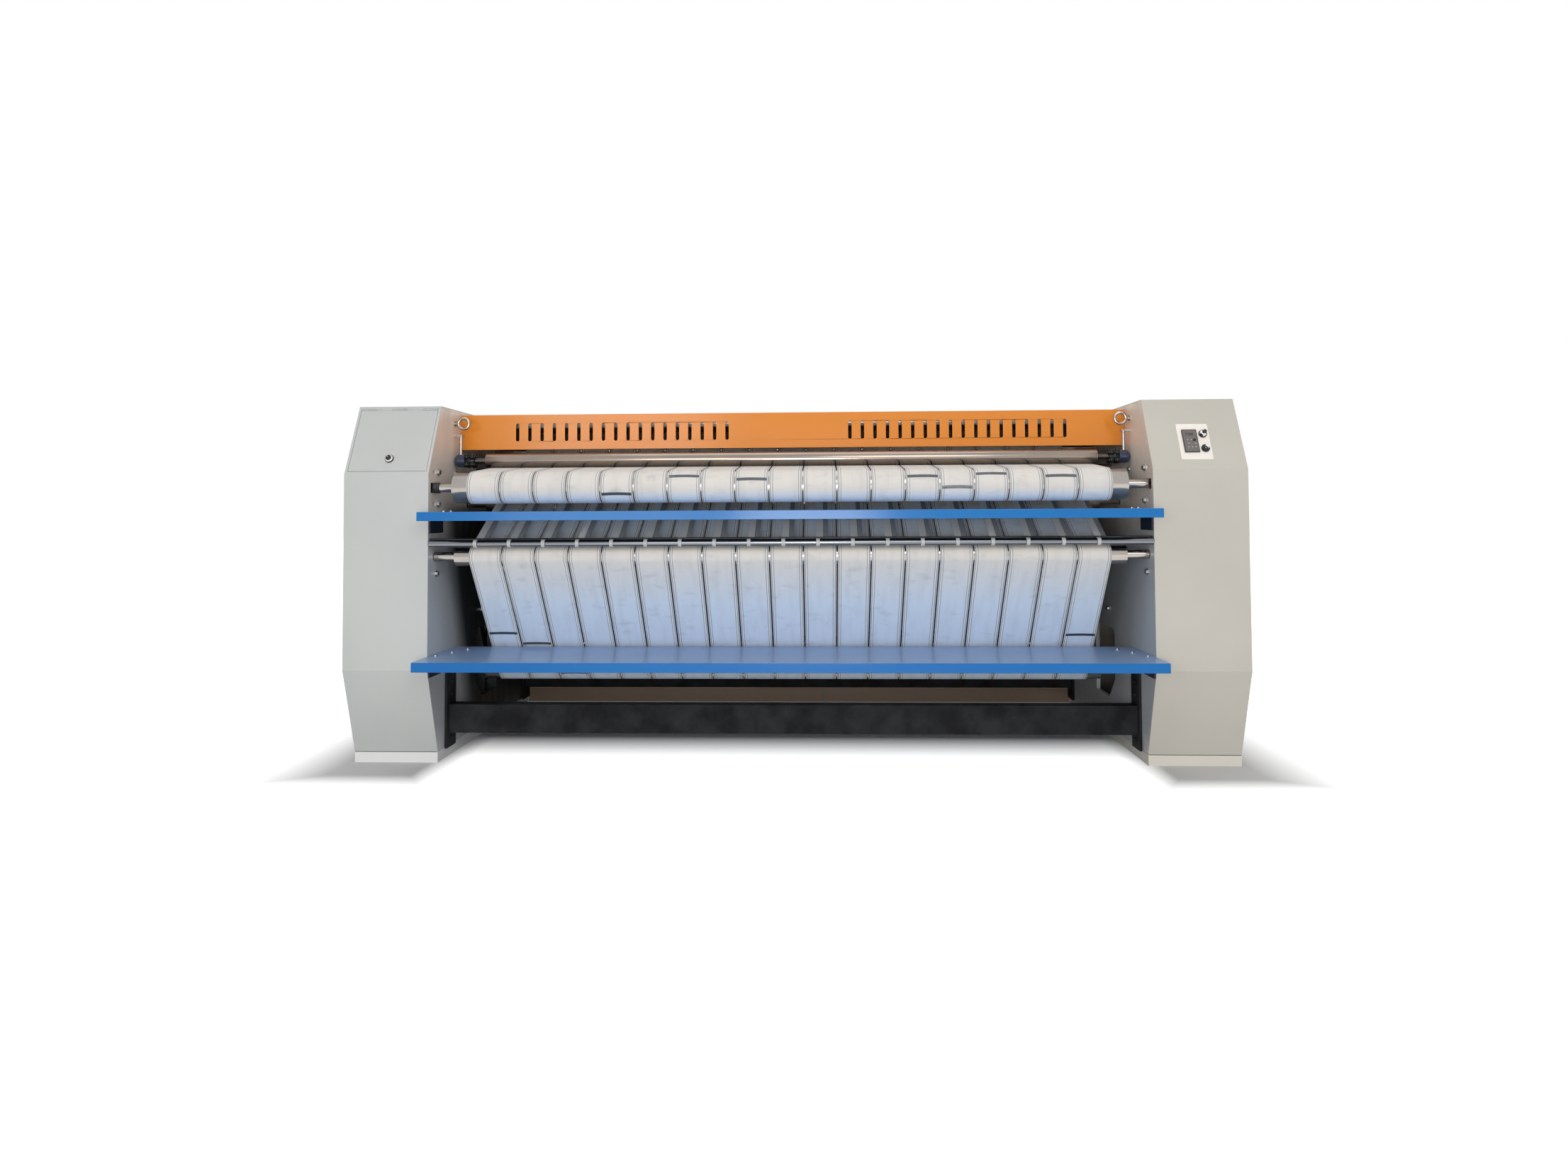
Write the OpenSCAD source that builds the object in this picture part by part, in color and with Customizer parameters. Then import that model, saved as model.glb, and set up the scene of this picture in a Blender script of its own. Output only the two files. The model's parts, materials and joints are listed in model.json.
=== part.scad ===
// Flatwork ironer with a heated drum, belts and two end cabinets
// Origin on the floor at the middle of the footprint, front towards -Y

/* [Cabinets] */
// Width of the left cabinet
left_w = 332; // [300:1:420]
// Width of the right cabinet
right_w = 352; // [300:1:420]
// Height of the cabinets
cab_h = 1410; // [1400:1:1500]
// Drop of the front's upper crease below the top
crease_drop = 276; // [230:1:320]
// Height of the lower crease of the front
crease_lo = 378; // [300:1:420]
// Set-back of the front at the top
set_top = 125; // [90:1:160]
// Set-back of the front at the bottom
set_low = 110; // [80:1:140]
// Height of the skirting
skirt_h = 42; // [30:1:60]
// Sheet thickness of the housings
sheet = 3; // [2:0.5:4]
// Thickness of the side frame plates
plate_t = 16; // [12:1:25]

/* [Belts] */
// Number of belts side by side
belt_n = 19; // [15:1:20]
// Width of one belt
belt_w = 124.5; // [110:0.5:140]
// Gap between two belts
belt_gap = 5.5; // [4:0.5:10]
// Thickness of a belt
belt_t = 3; // [2:0.5:4]
// Clearance between belts and rollers
belt_fit = 0.3; // [0.3:0.1:0.6]

/* [Drum] */
// Radius of the drum
drum_r = 400; // [380:1:410]
// Depth of the drum axis behind the front
drum_d = 830; // [820:1:860]
// Drop of the drum axis below the top
drum_drop = 580; // [560:1:590]
// Wall of the drum
drum_wall = 10; // [8:1:16]
// Radius of the drum journals
journal_r = 45; // [35:1:60]

/* [Rollers] */
// Radius of the feed roller
feed_r = 60; // [50:1:65]
// Depth of the feed roller axis
feed_d = 58; // [50:1:75]
// Drop of the feed roller axis below the top
feed_drop = 329; // [320:1:340]
// Radius of the small feed and nip rollers
nip_r = 30; // [24:1:32]
// Radius of the return rollers
return_r = 38; // [34:1:40]
// Depth of the lower front roller axis
lower_d = 67; // [60:1:80]
// Drop of the lower front roller axis below the top
lower_drop = 598; // [590:1:610]
// Depth of the bottom roller axis
bottom_d = 435; // [420:1:450]
// Height of the bottom return rollers
bottom_z = 315; // [300:1:330]
// Drop of the rear upper roller axis below the top
rear_drop = 210; // [200:1:230]
// Steel left bare at each roller end
roller_over = 60; // [40:1:80]
// Gap between a roller and the side frame
end_gap = 90; // [80:1:110]
// Radius of the roller shafts
shaft_r = 14; // [10:0.5:16]
// Radial play of a shaft in its bearing
run_fit = 0.05; // [0.02:0.01:0.1]

/* [Pressure roller] */
// Radius of the pressure roller
press_r = 28.5; // [24:0.5:32]
// Depth of the pressure roller axis
press_d = 280; // [260:1:300]
// Radius of the pressure roller shaft
press_shaft_r = 10.5; // [8:0.5:12]
// Radius of the bearing cap
cap_r = 27; // [22:1:30]

/* [Guard] */
// Height of the guard
guard_h = 147; // [130:1:150]
// Drop of the guard's upper edge below the top
guard_drop = 16; // [4:1:16]
// Depth of the guard behind the front
guard_d = 336; // [320:1:345]
// Depth of the guard's folded edges
guard_fold = 14; // [10:1:20]
// Slots in each group
slot_n = 18; // [12:1:18]
// Pitch of the slots
slot_pitch = 52; // [48:1:54]
// Width of a slot
slot_w = 14; // [10:1:20]
// Length of a slot
slot_l = 75; // [60:1:90]
// Plain middle stretch between the two groups
slot_mid = 512; // [460:1:560]

/* [Shelves] */
// Drop of the upper shelf's top below the cabinets' top
upper_drop = 423; // [420:1:430]
// Height of the upper shelf's edge
upper_t = 34; // [28:1:38]
// Reach of the upper shelf in front of the cabinets
upper_out = 110; // [90:1:130]
// Width of the upper shelf
upper_w = 250; // [230:1:270]
// Drop of the lower shelf's top below the cabinets' top
catch_drop = 979; // [970:1:990]
// Height of the lower shelf's edge
lower_t = 36; // [30:1:45]
// Reach of the lower shelf in front of the cabinets
lower_out = 150; // [140:1:180]
// Width of the lower shelf
lower_w = 430; // [400:1:434]

/* [Finger rod] */
// Radius of the rod
rod_r = 12.5; // [10:0.5:14]
// Depth of the rod
rod_d = 8; // [0:1:12]
// Drop of the rod below the cabinets' top
rod_drop = 546; // [535:1:550]
// Pitch of the fingers
finger_pitch = 132; // [120:1:136]
// Shift of the fingers from the middle
finger_shift = -10; // [-20:1:20]

/* [Frame] */
// Height of the beams
beam_h = 114; // [100:1:130]
// Height of the beams' lower edge
beam_z = 97; // [90:1:110]
// Depth of the front beam
beam_d = 227; // [210:1:240]
// Width of the beams
beam_w = 60; // [50:1:80]
// Space behind the rear rollers
rear_space = 44; // [40:1:80]

/* [Controls] */
// Width of the control plate
panel_w = 118; // [110:1:140]
// Height of the control plate
panel_h = 152; // [145:1:170]
// Width of the keypad
pad_w = 50; // [46:1:56]
// Height of the keypad
pad_h = 91; // [88:1:100]
// Radius of the two knobs
knob_r = 15.5; // [12:0.5:16]
// Radius of the lock
lock_r = 14.5; // [12:0.5:16]

/* [Hidden] */
$fn = 96;

belts_w = belt_n * belt_w + (belt_n - 1) * belt_gap;
roller_l = belts_w + 2 * roller_over;
bed_w = roller_l + 2 * end_gap;
total_w = left_w + bed_w + right_w;
left_in = left_w - total_w / 2;
right_in = total_w / 2 - right_w;
bed_x = (left_in + right_in) / 2;
rear_d = drum_d + drum_r + 5;
cab_d = rear_d + return_r + belt_t + rear_space;
face_y = lower_out - (cab_d + lower_out) / 2;
belt_pitch = belt_w + belt_gap;

// Heights that keep their drop below the top of the cabinets
crease_hi = cab_h - crease_drop;
drum_z = cab_h - drum_drop;
feed_z = cab_h - feed_drop;
lower_z = cab_h - lower_drop;
rear_z = cab_h - rear_drop;
guard_z = cab_h - guard_drop - guard_h;
upper_z = cab_h - upper_drop;
lower_top = cab_h - catch_drop;
rod_z = cab_h - rod_drop;

// Roller axes as [depth, height], those beside the drum set by an angle round it
function round_drum(angle, reach) = [drum_d, drum_z] + reach * [cos(angle), sin(angle)];
drum_at = [drum_d, drum_z];
feed_at = [feed_d, feed_z];
lower_at = [lower_d, lower_z];
bottom_at = [bottom_d, bottom_z];
rear_low_at = [rear_d, bottom_z];
rear_top_at = [rear_d, rear_z];
nip_at = round_drum(95, drum_r + nip_r + belt_t + 5);
rear_feed_at = round_drum(131, drum_r + nip_r + belt_t + 10);
nose_at = round_drum(155, drum_r + return_r + belt_t + 5);

// Tangent between two circles, each [centre, radius, side], side 1 inside the loop and -1 outside
function tangent_dir(a, b) =
    let (v = b[0] - a[0])
    atan2(v[1], v[0]) - asin((b[1] * b[2] - a[1] * a[2]) / norm(v));
function tangent_points(a, b) =
    let (t = tangent_dir(a, b), n = [-sin(t), cos(t)])
    [a[0] - a[1] * a[2] * n, b[0] - b[1] * b[2] * n];
function loop_points(c) = [for (i = [0 : len(c) - 1]) each tangent_points(c[i], c[(i + 1) % len(c)])];

// Circles of the two belt loops, grown from the rollers by g
function feed_loop(g) = [[feed_at, feed_r + g, 1], [rear_feed_at, nip_r + g, 1]];
function ironing_loop(g) = [
    [nose_at, return_r + g, 1],
    [lower_at, return_r + g, 1],
    [bottom_at, return_r + g, 1],
    [rear_low_at, return_r + g, 1],
    [rear_top_at, return_r + g, 1],
    [nip_at, nip_r + g, 1],
    [drum_at, drum_r + belt_fit + belt_t + belt_fit - g, -1]];

// The pressure roller rests on the top run of the feed belts
top_run = tangent_points([rear_feed_at, nip_r + belt_fit + belt_t, 1], [feed_at, feed_r + belt_fit + belt_t, 1]);
run_dir = (top_run[0] - top_run[1]) / norm(top_run[0] - top_run[1]);
press_at = top_run[1] + run_dir * ((press_d - top_run[1][0]) / run_dir[0])
    + (press_r + belt_fit) * [-run_dir[1], run_dir[0]];

// Front outline of a cabinet, depth and height, counter-clockwise
function unit(v) = v / norm(v);
function left_of(v) = [-v[1], v[0]];
function inset(p, t) = [for (i = [0 : len(p) - 1])
    let (a = p[(i + len(p) - 1) % len(p)], b = p[i], c = p[(i + 1) % len(p)],
         n1 = left_of(unit(b - a)), n2 = left_of(unit(c - b)))
    b + t * (n1 + n2) / (1 + n1 * n2)];
cab_outline = [[set_low, skirt_h], [cab_d, skirt_h], [cab_d, cab_h], [set_top, cab_h],
    [0, crease_hi], [0, crease_lo]];

// Slanted upper facet of the front
slant = norm([set_top, crease_drop]);
slant_tilt = atan2(set_top, crease_drop);

module along_x(x, l) {
    translate([x, face_y, 0]) rotate([90, 0, 90]) linear_extrude(l) children();
}

module bar_x(at, r, x0, x1) {
    translate([x0, face_y + at[0], at[1]]) rotate([0, 90, 0]) cylinder(h = x1 - x0, r = r);
}

module mirror_ends() {
    children();
    translate([2 * bed_x, 0, 0]) mirror([1, 0, 0]) children();
}

// Children drawn on the slanted facet: x across, y up the slope from the crease, z outwards
module on_slant(x) {
    translate([x, face_y, crease_hi]) rotate([90 - slant_tilt, 0, 0]) children();
}

module shell(x, w, open_left) {
    difference() {
        along_x(x, w) polygon(cab_outline);
        along_x(open_left ? x - 1 : x + sheet, w - sheet + 1) polygon(inset(cab_outline, sheet));
    }
}

// Side frame
window_d = 520;
window_w = 280;
window_z = 170;
window_h = 305;
shaft_slot_w = 70;
shaft_slot_h = 40;
bolt_slot = 14;
bolt_drop = 63;

window_cut = 90;
window_r = 40;
module window_outline() {
    c = window_r;
    difference() {
        translate([window_d, window_z]) square([window_w, window_h]);
        translate([window_d, window_z]) polygon([[-1, -1], [window_cut, -1], [-1, window_cut]]);
        translate([window_d, window_z + window_h]) difference() {
            translate([-1, -c]) square([c + 1, c + 1]);
            translate([c, -c]) circle(c);
        }
        translate([window_d + window_w, window_z + window_h]) difference() {
            translate([-c, -c]) square([c + 1, c + 1]);
            translate([-c, -c]) circle(c);
        }
    }
}

module side_frame_outline() {
    difference() {
        polygon(inset(cab_outline, sheet));
        window_outline();
        translate(drum_at) circle(journal_r + 4);
        for (at = [rear_feed_at, lower_at, nose_at, nip_at, bottom_at, rear_low_at, rear_top_at])
            translate(at) circle(shaft_r + 3);
        translate(feed_at) square([shaft_slot_w, shaft_slot_h], center = true);
        for (s = [-1, 1])
            translate(feed_at + [0, s * bolt_drop]) square([2 * bolt_slot, bolt_slot], center = true);
    }
}

module left_side_frame() {
    color("dimgray") along_x(left_in - plate_t, plate_t) side_frame_outline();
}

module right_side_frame() {
    color("dimgray") along_x(right_in, plate_t) side_frame_outline();
}

// Cabinets
flap_side = 10;
flap_low = 12;
flap_top = 10;
flap_gap = 1.5;
flap_w = left_w - 2 * flap_side;
flap_h = slant - flap_low - flap_top;
hinge_r = 3.2;
hinge_pin_r = 1.5;
hinge_gap = 2 * (hinge_r + 0.3);
knuckle = flap_w / 5;
hinge_y = flap_low + flap_h - hinge_gap / 2;

module left_cabinet() {
    color("silver") difference() {
        shell(-total_w / 2, left_w, false);
        on_slant(-total_w / 2 + flap_side)
            translate([0, flap_low, -sheet - 2]) cube([flap_w, flap_h, sheet + 4]);
    }
}

panel_side = 173;
panel_drop = 187;
panel_x = total_w / 2 - right_w + panel_side;
panel_y = slant - panel_drop;
knob_x = 35;
knob_y = 31;

module right_cabinet() {
    color("tan") difference() {
        shell(right_in, right_w, true);
        on_slant(panel_x)
            translate([-panel_w / 2 + 12, panel_y - panel_h / 2 + 12, -sheet - 2])
                cube([panel_w - 24, panel_h - 24, sheet + 4]);
    }
}

module knuckles(first) {
    for (i = [first : 2 : 4])
        translate([i * knuckle + 0.3, 0, 0]) rotate([0, 90, 0]) cylinder(h = knuckle - 0.6, r = hinge_r);
}

module left_flap() {
    color("silver") on_slant(-total_w / 2 + flap_side) difference() {
        union() {
            translate([flap_gap, flap_low + flap_gap, -sheet])
                cube([flap_w - 2 * flap_gap, flap_h - flap_gap - hinge_gap, sheet]);
            translate([0, hinge_y, 0]) knuckles(1);
            for (i = [1, 3])
                translate([i * knuckle + 0.3, hinge_y - hinge_gap / 2 - 1, -sheet + 0.5])
                    cube([knuckle - 0.6, hinge_gap / 2 + 1, sheet - 0.5]);
        }
        translate([flap_w / 2, lock_y, -sheet - 1]) cylinder(h = sheet + 2, r = lock_r - 3 + run_fit);
        translate([-1, hinge_y, 0]) rotate([0, 90, 0]) cylinder(h = flap_w + 2, r = hinge_pin_r + run_fit);
    }
}

module flap_hinge() {
    color("gray") on_slant(-total_w / 2 + flap_side) translate([0, hinge_y, 0]) {
        knuckles(0);
        translate([1, 0, 0]) rotate([0, 90, 0]) cylinder(h = flap_w - 2, r = hinge_pin_r);
    }
}

lock_y = 67;
cam_t = 3;
module flap_lock() {
    color("silver") on_slant(-total_w / 2 + flap_side + flap_w / 2) translate([0, lock_y, 0]) {
        difference() {
            cylinder(h = 5, r = lock_r);
            translate([-1.2, -6, 3]) cube([2.4, 12, 3]);
        }
        translate([0, 0, -20]) cylinder(h = 20, r = lock_r - 3);
        translate([0, -8, -sheet - 0.5 - cam_t]) cube([lock_y - flap_low + 8, 16, cam_t]);
    }
}

// Controls
module screw_head(r) {
    difference() {
        cylinder(h = r * 0.6, r = r);
        translate([-r * 0.12, -r * 0.8, r * 0.35]) cube([r * 0.24, r * 1.6, r]);
    }
}

// A thin rim round the raised middle of the plate, with a screw at each corner
panel_t = 2;
panel_rim = 7;
panel_rim_t = 1.2;
panel_screw_r = 2.6;
module control_plate() {
    color("ivory") on_slant(panel_x) translate([0, panel_y, 0]) {
        difference() {
            union() {
                translate([-panel_w / 2, -panel_h / 2, 0]) cube([panel_w, panel_h, panel_rim_t]);
                translate([-panel_w / 2 + panel_rim, -panel_h / 2 + panel_rim, 0])
                    cube([panel_w - 2 * panel_rim, panel_h - 2 * panel_rim, panel_t]);
            }
            for (s = [-1, 1]) translate([knob_x, s * knob_y, -1]) cylinder(h = 4, r = 5 + run_fit);
        }
        for (x = [-1, 1], y = [-1, 1])
            translate([x * (panel_w - panel_rim) / 2, y * (panel_h - panel_rim) / 2, panel_rim_t])
                screw_head(panel_screw_r);
    }
}

pad_x = -16;
key_r = 4.5;
key_at = [[-12, 3], [2, 3], [-10, -12], [15, -12], [-12, -27], [1.5, -27], [15, -27]];
key_travel = 0.8;
key_floor = 3;
key_gap = 0.2;
pad_t = 6;
display_x = -17;
display_y = 20;
display_w = 32;
display_h = 17;
dial_x = 13.5;
dial_y = 3;
dial_r = 5;
dial_stem_r = 3;

module on_pad() {
    on_slant(panel_x) translate([pad_x, panel_y, panel_t]) children();
}

module keypad() {
    color("dimgray") on_pad() difference() {
        translate([-pad_w / 2, -pad_h / 2, 0]) cube([pad_w, pad_h, pad_t]);
        translate([display_x, display_y, pad_t - 2]) cube([display_w, display_h, pad_t]);
        for (k = key_at) translate([k[0], k[1], key_floor]) cylinder(h = pad_t, r = key_r + key_gap);
        translate([dial_x, dial_y, key_floor]) cylinder(h = pad_t, r = dial_stem_r + run_fit);
    }
}

module display() {
    color("darkslategray") on_pad() translate([display_x, display_y, pad_t - 2])
        cube([display_w, display_h, 1.6]);
}

module key(i) {
    color("lightgray") on_pad() translate([key_at[i][0], key_at[i][1], key_floor + key_travel + 0.2])
        cylinder(h = 3, r = key_r);
}

module keypad_dial() {
    color("black") on_pad() translate([dial_x, dial_y, key_floor]) {
        cylinder(h = 3.2, r = dial_stem_r);
        translate([0, 0, 3.2]) cylinder(h = 4, r = dial_r);
    }
}

// A selector knob: a round base with a grip bar across it that points to the upper right at rest
knob_base = 5;
grip_w = 12;
grip_h = 11;
module knob(s) {
    color("black") on_slant(panel_x) translate([knob_x, panel_y + s * knob_y, 0]) {
        translate([0, 0, -6]) cylinder(h = 8.3, r = 5);
        translate([0, 0, 2.3]) cylinder(h = knob_base, r = knob_r);
        intersection() {
            translate([0, 0, 2.3]) cylinder(h = knob_base + grip_h, r = knob_r - 1);
            rotate(-45) translate([-grip_w / 2, -knob_r, 2.3]) cube([grip_w, 2 * knob_r, knob_base + grip_h]);
        }
    }
}

// Base
skirt_t = 3;
module skirting(x, w) {
    difference() {
        translate([x, face_y + set_low, 0]) cube([w, cab_d - set_low, skirt_h]);
        translate([x + skirt_t, face_y + set_low + skirt_t, -1])
            cube([w - 2 * skirt_t, cab_d - set_low - 2 * skirt_t, skirt_h + 2]);
    }
}

module skirtings() {
    color("gray") {
        skirting(-total_w / 2, left_w);
        skirting(right_in, right_w);
    }
}

module foot(x, y) {
    translate([x, face_y + y, 0]) {
        cylinder(h = 12, r = 30);
        cylinder(h = skirt_h, r = 10);
    }
}

module feet() {
    color("black") for (y = [set_low + 60, cab_d - 60]) {
        for (x = [50, left_w - 50]) foot(-total_w / 2 + x, y);
        for (x = [50, right_w - 50]) foot(right_in + x, y);
    }
}

beam_wall = 5;
end_plate_t = 10;
module beam(d) {
    translate([left_in + end_plate_t, face_y + d - beam_w / 2, beam_z]) difference() {
        cube([bed_w - 2 * end_plate_t, beam_w, beam_h]);
        translate([-1, beam_wall, beam_wall])
            cube([bed_w + 2, beam_w - 2 * beam_wall, beam_h - 2 * beam_wall]);
    }
}

plate_half = 48;
cover_gap = 20;
rear_beam_d = cab_d - cover_gap - plate_half - 8;

module front_beam() {
    color("black") beam(beam_d);
}

module rear_beam() {
    color("black") beam(rear_beam_d);
}

module hex_head(r, h) {
    cylinder(h = h, r = r, $fn = 6);
}

// End plate of a beam up to a height, with a bolt at each of these shares of it
beam_plate_z = 38;
beam_bolt_r = 9;
module beam_plate(d, top, shares) {
    h = top - beam_plate_z;
    translate([left_in, face_y + d - plate_half, beam_plate_z]) cube([end_plate_t, 2 * plate_half, h]);
    for (share = shares) translate([left_in + end_plate_t, face_y + d, beam_plate_z + share * h])
        rotate([0, 90, 0]) hex_head(beam_bolt_r, 7);
}

module beam_plates() {
    color("black") mirror_ends() {
        beam_plate(beam_d, lower_top - lower_t - 10, [0.1, 0.61, 0.755]);
        beam_plate(rear_beam_d, beam_z + beam_h + 40, [0.12, 0.9]);
    }
}

// Guard over the infeed
module guard_slot() {
    translate([0, -slot_l / 2 + slot_w / 2]) circle(slot_w / 2);
    translate([0, slot_l / 2 - slot_w / 2]) circle(slot_w / 2);
    square([slot_w, slot_l - slot_w], center = true);
}

module guard() {
    color("darkorange") difference() {
        along_x(left_in, bed_w) translate([guard_d, guard_z]) difference() {
            square([guard_fold, guard_h]);
            translate([sheet, sheet]) square([guard_fold, guard_h - 2 * sheet]);
        }
        for (s = [-1, 1], i = [0 : slot_n - 1])
            translate([bed_x + s * (slot_mid / 2 + i * slot_pitch), face_y + guard_d + sheet + 1,
                guard_z + guard_h - 74.5])
                rotate([90, 0, 0]) linear_extrude(sheet + 2) guard_slot();
    }
}

guard_bar_r = 16;
guard_bar_back = 90;
guard_bar_drop = 34;
module guard_bar() {
    color("silver") bar_x([guard_d + guard_bar_back, guard_z + guard_h - guard_bar_drop], guard_bar_r,
        left_in, right_in);
}

eye_r = 28;
eye_t = 6;
eye_drop = 58;
eye_x = 30;
module eye_bolts() {
    color("silver") mirror_ends() translate([left_in, face_y + press_d - 10, cab_h - eye_drop]) {
        rotate([0, 90, 0]) cylinder(h = 4, r = 12);
        rotate([0, 90, 0]) cylinder(h = 14, r = 6);
        translate([eye_x + 6, 0, 0]) rotate([90, 0, 0]) rotate_extrude()
            translate([eye_r - eye_t, 0]) circle(eye_t);
    }
}

module top_cover() {
    color("lightgray") along_x(left_in, bed_w) translate([guard_d + guard_fold, guard_z + guard_h - sheet])
        square([cab_d - guard_d - guard_fold - cover_gap, sheet]);
}

cover_low = 60;
module rear_cover() {
    color("lightgray") along_x(left_in, bed_w) translate([cab_d - cover_gap, cover_low])
        square([sheet, guard_z + guard_h - cover_low]);
}

// Drum, whose left journal is longer for the sprocket
drum_end_t = 12;
journal_left = 120;
journal_right = 60;
drum_bearing_l = 50;
drum_bearing_rim = 45;
module drum() {
    color("silver") {
        difference() {
            bar_x(drum_at, drum_r, bed_x - roller_l / 2, bed_x + roller_l / 2);
            bar_x(drum_at, drum_r - drum_wall,
                bed_x - roller_l / 2 + drum_end_t, bed_x + roller_l / 2 - drum_end_t);
        }
        bar_x(drum_at, journal_r, left_in - plate_t - journal_left, bed_x - roller_l / 2 + 1);
        bar_x(drum_at, journal_r, bed_x + roller_l / 2 - 1, right_in + plate_t + journal_right);
    }
}

module bearing(at, r, reach, out) {
    difference() {
        union() {
            bar_x(at, out, left_in - plate_t - reach / 2, left_in - plate_t);
            bar_x(at, (r + out) / 2, left_in - plate_t - reach, left_in - plate_t);
        }
        bar_x(at, r + run_fit, left_in - plate_t - reach - 1, left_in - plate_t + 1);
    }
}

module drum_bearings() {
    color("slategray") mirror_ends() bearing(drum_at, journal_r, drum_bearing_l, journal_r + drum_bearing_rim);
}

// Rollers
stub_out = 32;
bearing_l = 28;
bearing_rim = 19;
module roller(at, r, stub) {
    bar_x(at, r, bed_x - roller_l / 2, bed_x + roller_l / 2);
    bar_x(at, stub, left_in - plate_t - stub_out, right_in + plate_t + stub_out);
}

module feed_roller() {
    color("lightgray") roller(feed_at, feed_r, shaft_r);
}

module rear_feed_roller() {
    color("lightgray") roller(rear_feed_at, nip_r, shaft_r);
}

module lower_roller() {
    color("lightgray") roller(lower_at, return_r, shaft_r);
}

module nose_roller() {
    color("lightgray") roller(nose_at, return_r, shaft_r);
}

module nip_roller() {
    color("lightgray") roller(nip_at, nip_r, shaft_r);
}

module bottom_roller() {
    color("lightgray") roller(bottom_at, return_r, shaft_r);
}

module rear_low_roller() {
    color("lightgray") roller(rear_low_at, return_r, shaft_r);
}

module rear_top_roller() {
    color("lightgray") roller(rear_top_at, return_r, shaft_r);
}

module roller_bearings() {
    color("slategray") mirror_ends()
        for (at = [feed_at, rear_feed_at, lower_at, nose_at, nip_at, bottom_at, rear_low_at, rear_top_at])
            bearing(at, shaft_r, bearing_l, shaft_r + bearing_rim);
}

// Pressure roller with its end flanges and bearing caps
cap_l = 46;
flange_t = 38;
flange_r = 22;
lobe_r = 13;
press_l = bed_w - 2 * (cap_l + flange_t + 50);

module pressure_roller() {
    color("silver") {
        bar_x(press_at, press_r, bed_x - press_l / 2, bed_x + press_l / 2);
        bar_x(press_at, press_shaft_r, left_in + 12, right_in - 12);
    }
}

module pressure_flanges() {
    x0 = left_in + cap_l;
    color("black") mirror_ends() difference() {
        union() {
            bar_x(press_at, flange_r, x0, x0 + flange_t);
            for (a = [45 : 90 : 315], k = [0, flange_t - 14])
                bar_x(press_at + flange_r * [cos(a), sin(a)], lobe_r, x0 + k, x0 + k + 14);
        }
        bar_x(press_at, press_shaft_r + run_fit, x0 - 1, x0 + flange_t + 1);
    }
}

module pressure_caps() {
    r = cap_r - 8;
    color("midnightblue") mirror_ends() translate([left_in, face_y + press_at[0], press_at[1]]) difference() {
        rotate([0, 90, 0]) rotate_extrude() difference() {
            union() {
                square([cap_r - r, cap_l]);
                translate([0, r]) square([cap_r, cap_l - r]);
                translate([cap_r - r, r]) circle(r);
            }
            translate([0, 11]) square([press_shaft_r + run_fit, cap_l]);
            translate([-cap_r, 0]) square([cap_r, cap_l]);
        }
        translate([cap_l / 2, 0, press_rod_seat]) cylinder(h = cap_r, r = press_rod_r + run_fit);
    }
}

// Spring rods that press the caps down, each hung from a lug on the side frame
press_rod_r = 5.5;
press_rod_seat = 14;
lug_t = 6;
lug_half = 9;
lug_drop = 110;
module pressure_rods() {
    low = press_at[1] + press_rod_seat;
    lug_z = cab_h - lug_drop;
    color("silver") mirror_ends() translate([left_in, face_y + press_at[0], 0]) {
        translate([cap_l / 2, 0, low]) cylinder(h = lug_z + lug_t / 2 - low, r = press_rod_r);
        translate([0, -lug_half, lug_z]) cube([cap_l / 2 + lug_half, 2 * lug_half, lug_t]);
    }
}

// Belts
module loop_outline(c) {
    difference() {
        union() {
            polygon(loop_points(c));
            for (k = c) if (k[2] > 0) translate(k[0]) circle(k[1]);
        }
        for (k = c) if (k[2] < 0) translate(k[0]) circle(k[1]);
    }
}

module belts() {
    for (i = [0 : belt_n - 1])
        along_x(bed_x - belts_w / 2 + i * belt_pitch, belt_w) children();
}

module feed_belts() {
    color("whitesmoke") belts() difference() {
        loop_outline(feed_loop(belt_fit + belt_t));
        loop_outline(feed_loop(belt_fit));
    }
}

module ironing_belts() {
    color("white") belts() difference() {
        loop_outline(ironing_loop(belt_fit + belt_t));
        loop_outline(ironing_loop(belt_fit));
    }
}

// Finger rod with its stripping fingers, which lie along the sloping belts
finger_w = 26.5;
finger_side = 6;
finger_t = 2;
finger_short = 24;
finger_l = norm(nose_at - lower_at) - finger_short;
ring_t = 3;
run_slope = atan2(nose_at[1] - lower_z, nose_at[0] - lower_d);
module finger_places() {
    for (i = [0 : belt_n - 1])
        translate([bed_x + finger_shift + (i - (belt_n - 1) / 2) * finger_pitch, 0, 0]) children();
}

module finger_rod() {
    color("silver") bar_x([rod_d, rod_z], rod_r, left_in, right_in);
}

module fingers() {
    color("lightgray") finger_places()
        translate([finger_side - finger_w / 2, face_y + rod_d, rod_z]) rotate([run_slope, 0, 0])
        translate([0, rod_r + ring_t + 0.2, -finger_t / 2]) cube([finger_w, finger_l, finger_t]);
}

ring_half = 7;
module finger_rings() {
    color("white") finger_places() difference() {
        bar_x([rod_d, rod_z], rod_r + ring_t, -ring_half, ring_half);
        bar_x([rod_d, rod_z], rod_r + 0.1, -ring_half - 1, ring_half + 1);
    }
}

module tie_rod() {
    color("dimgray") bar_x([rod_d + 12, rod_z + 16], 4, left_in, right_in);
}

// Shelves
module shelf(x, d, z, w, t) {
    along_x(x, bed_w) translate([d, z - t]) difference() {
        square([w, t]);
        translate([sheet, -1]) square([w - 2 * sheet, t - sheet + 1]);
    }
}

module upper_shelf() {
    color("steelblue") shelf(left_in, -upper_out, upper_z, upper_w, upper_t);
}

module lower_shelf() {
    color("steelblue") shelf(left_in, -lower_out, lower_top, lower_w, lower_t);
}

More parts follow.
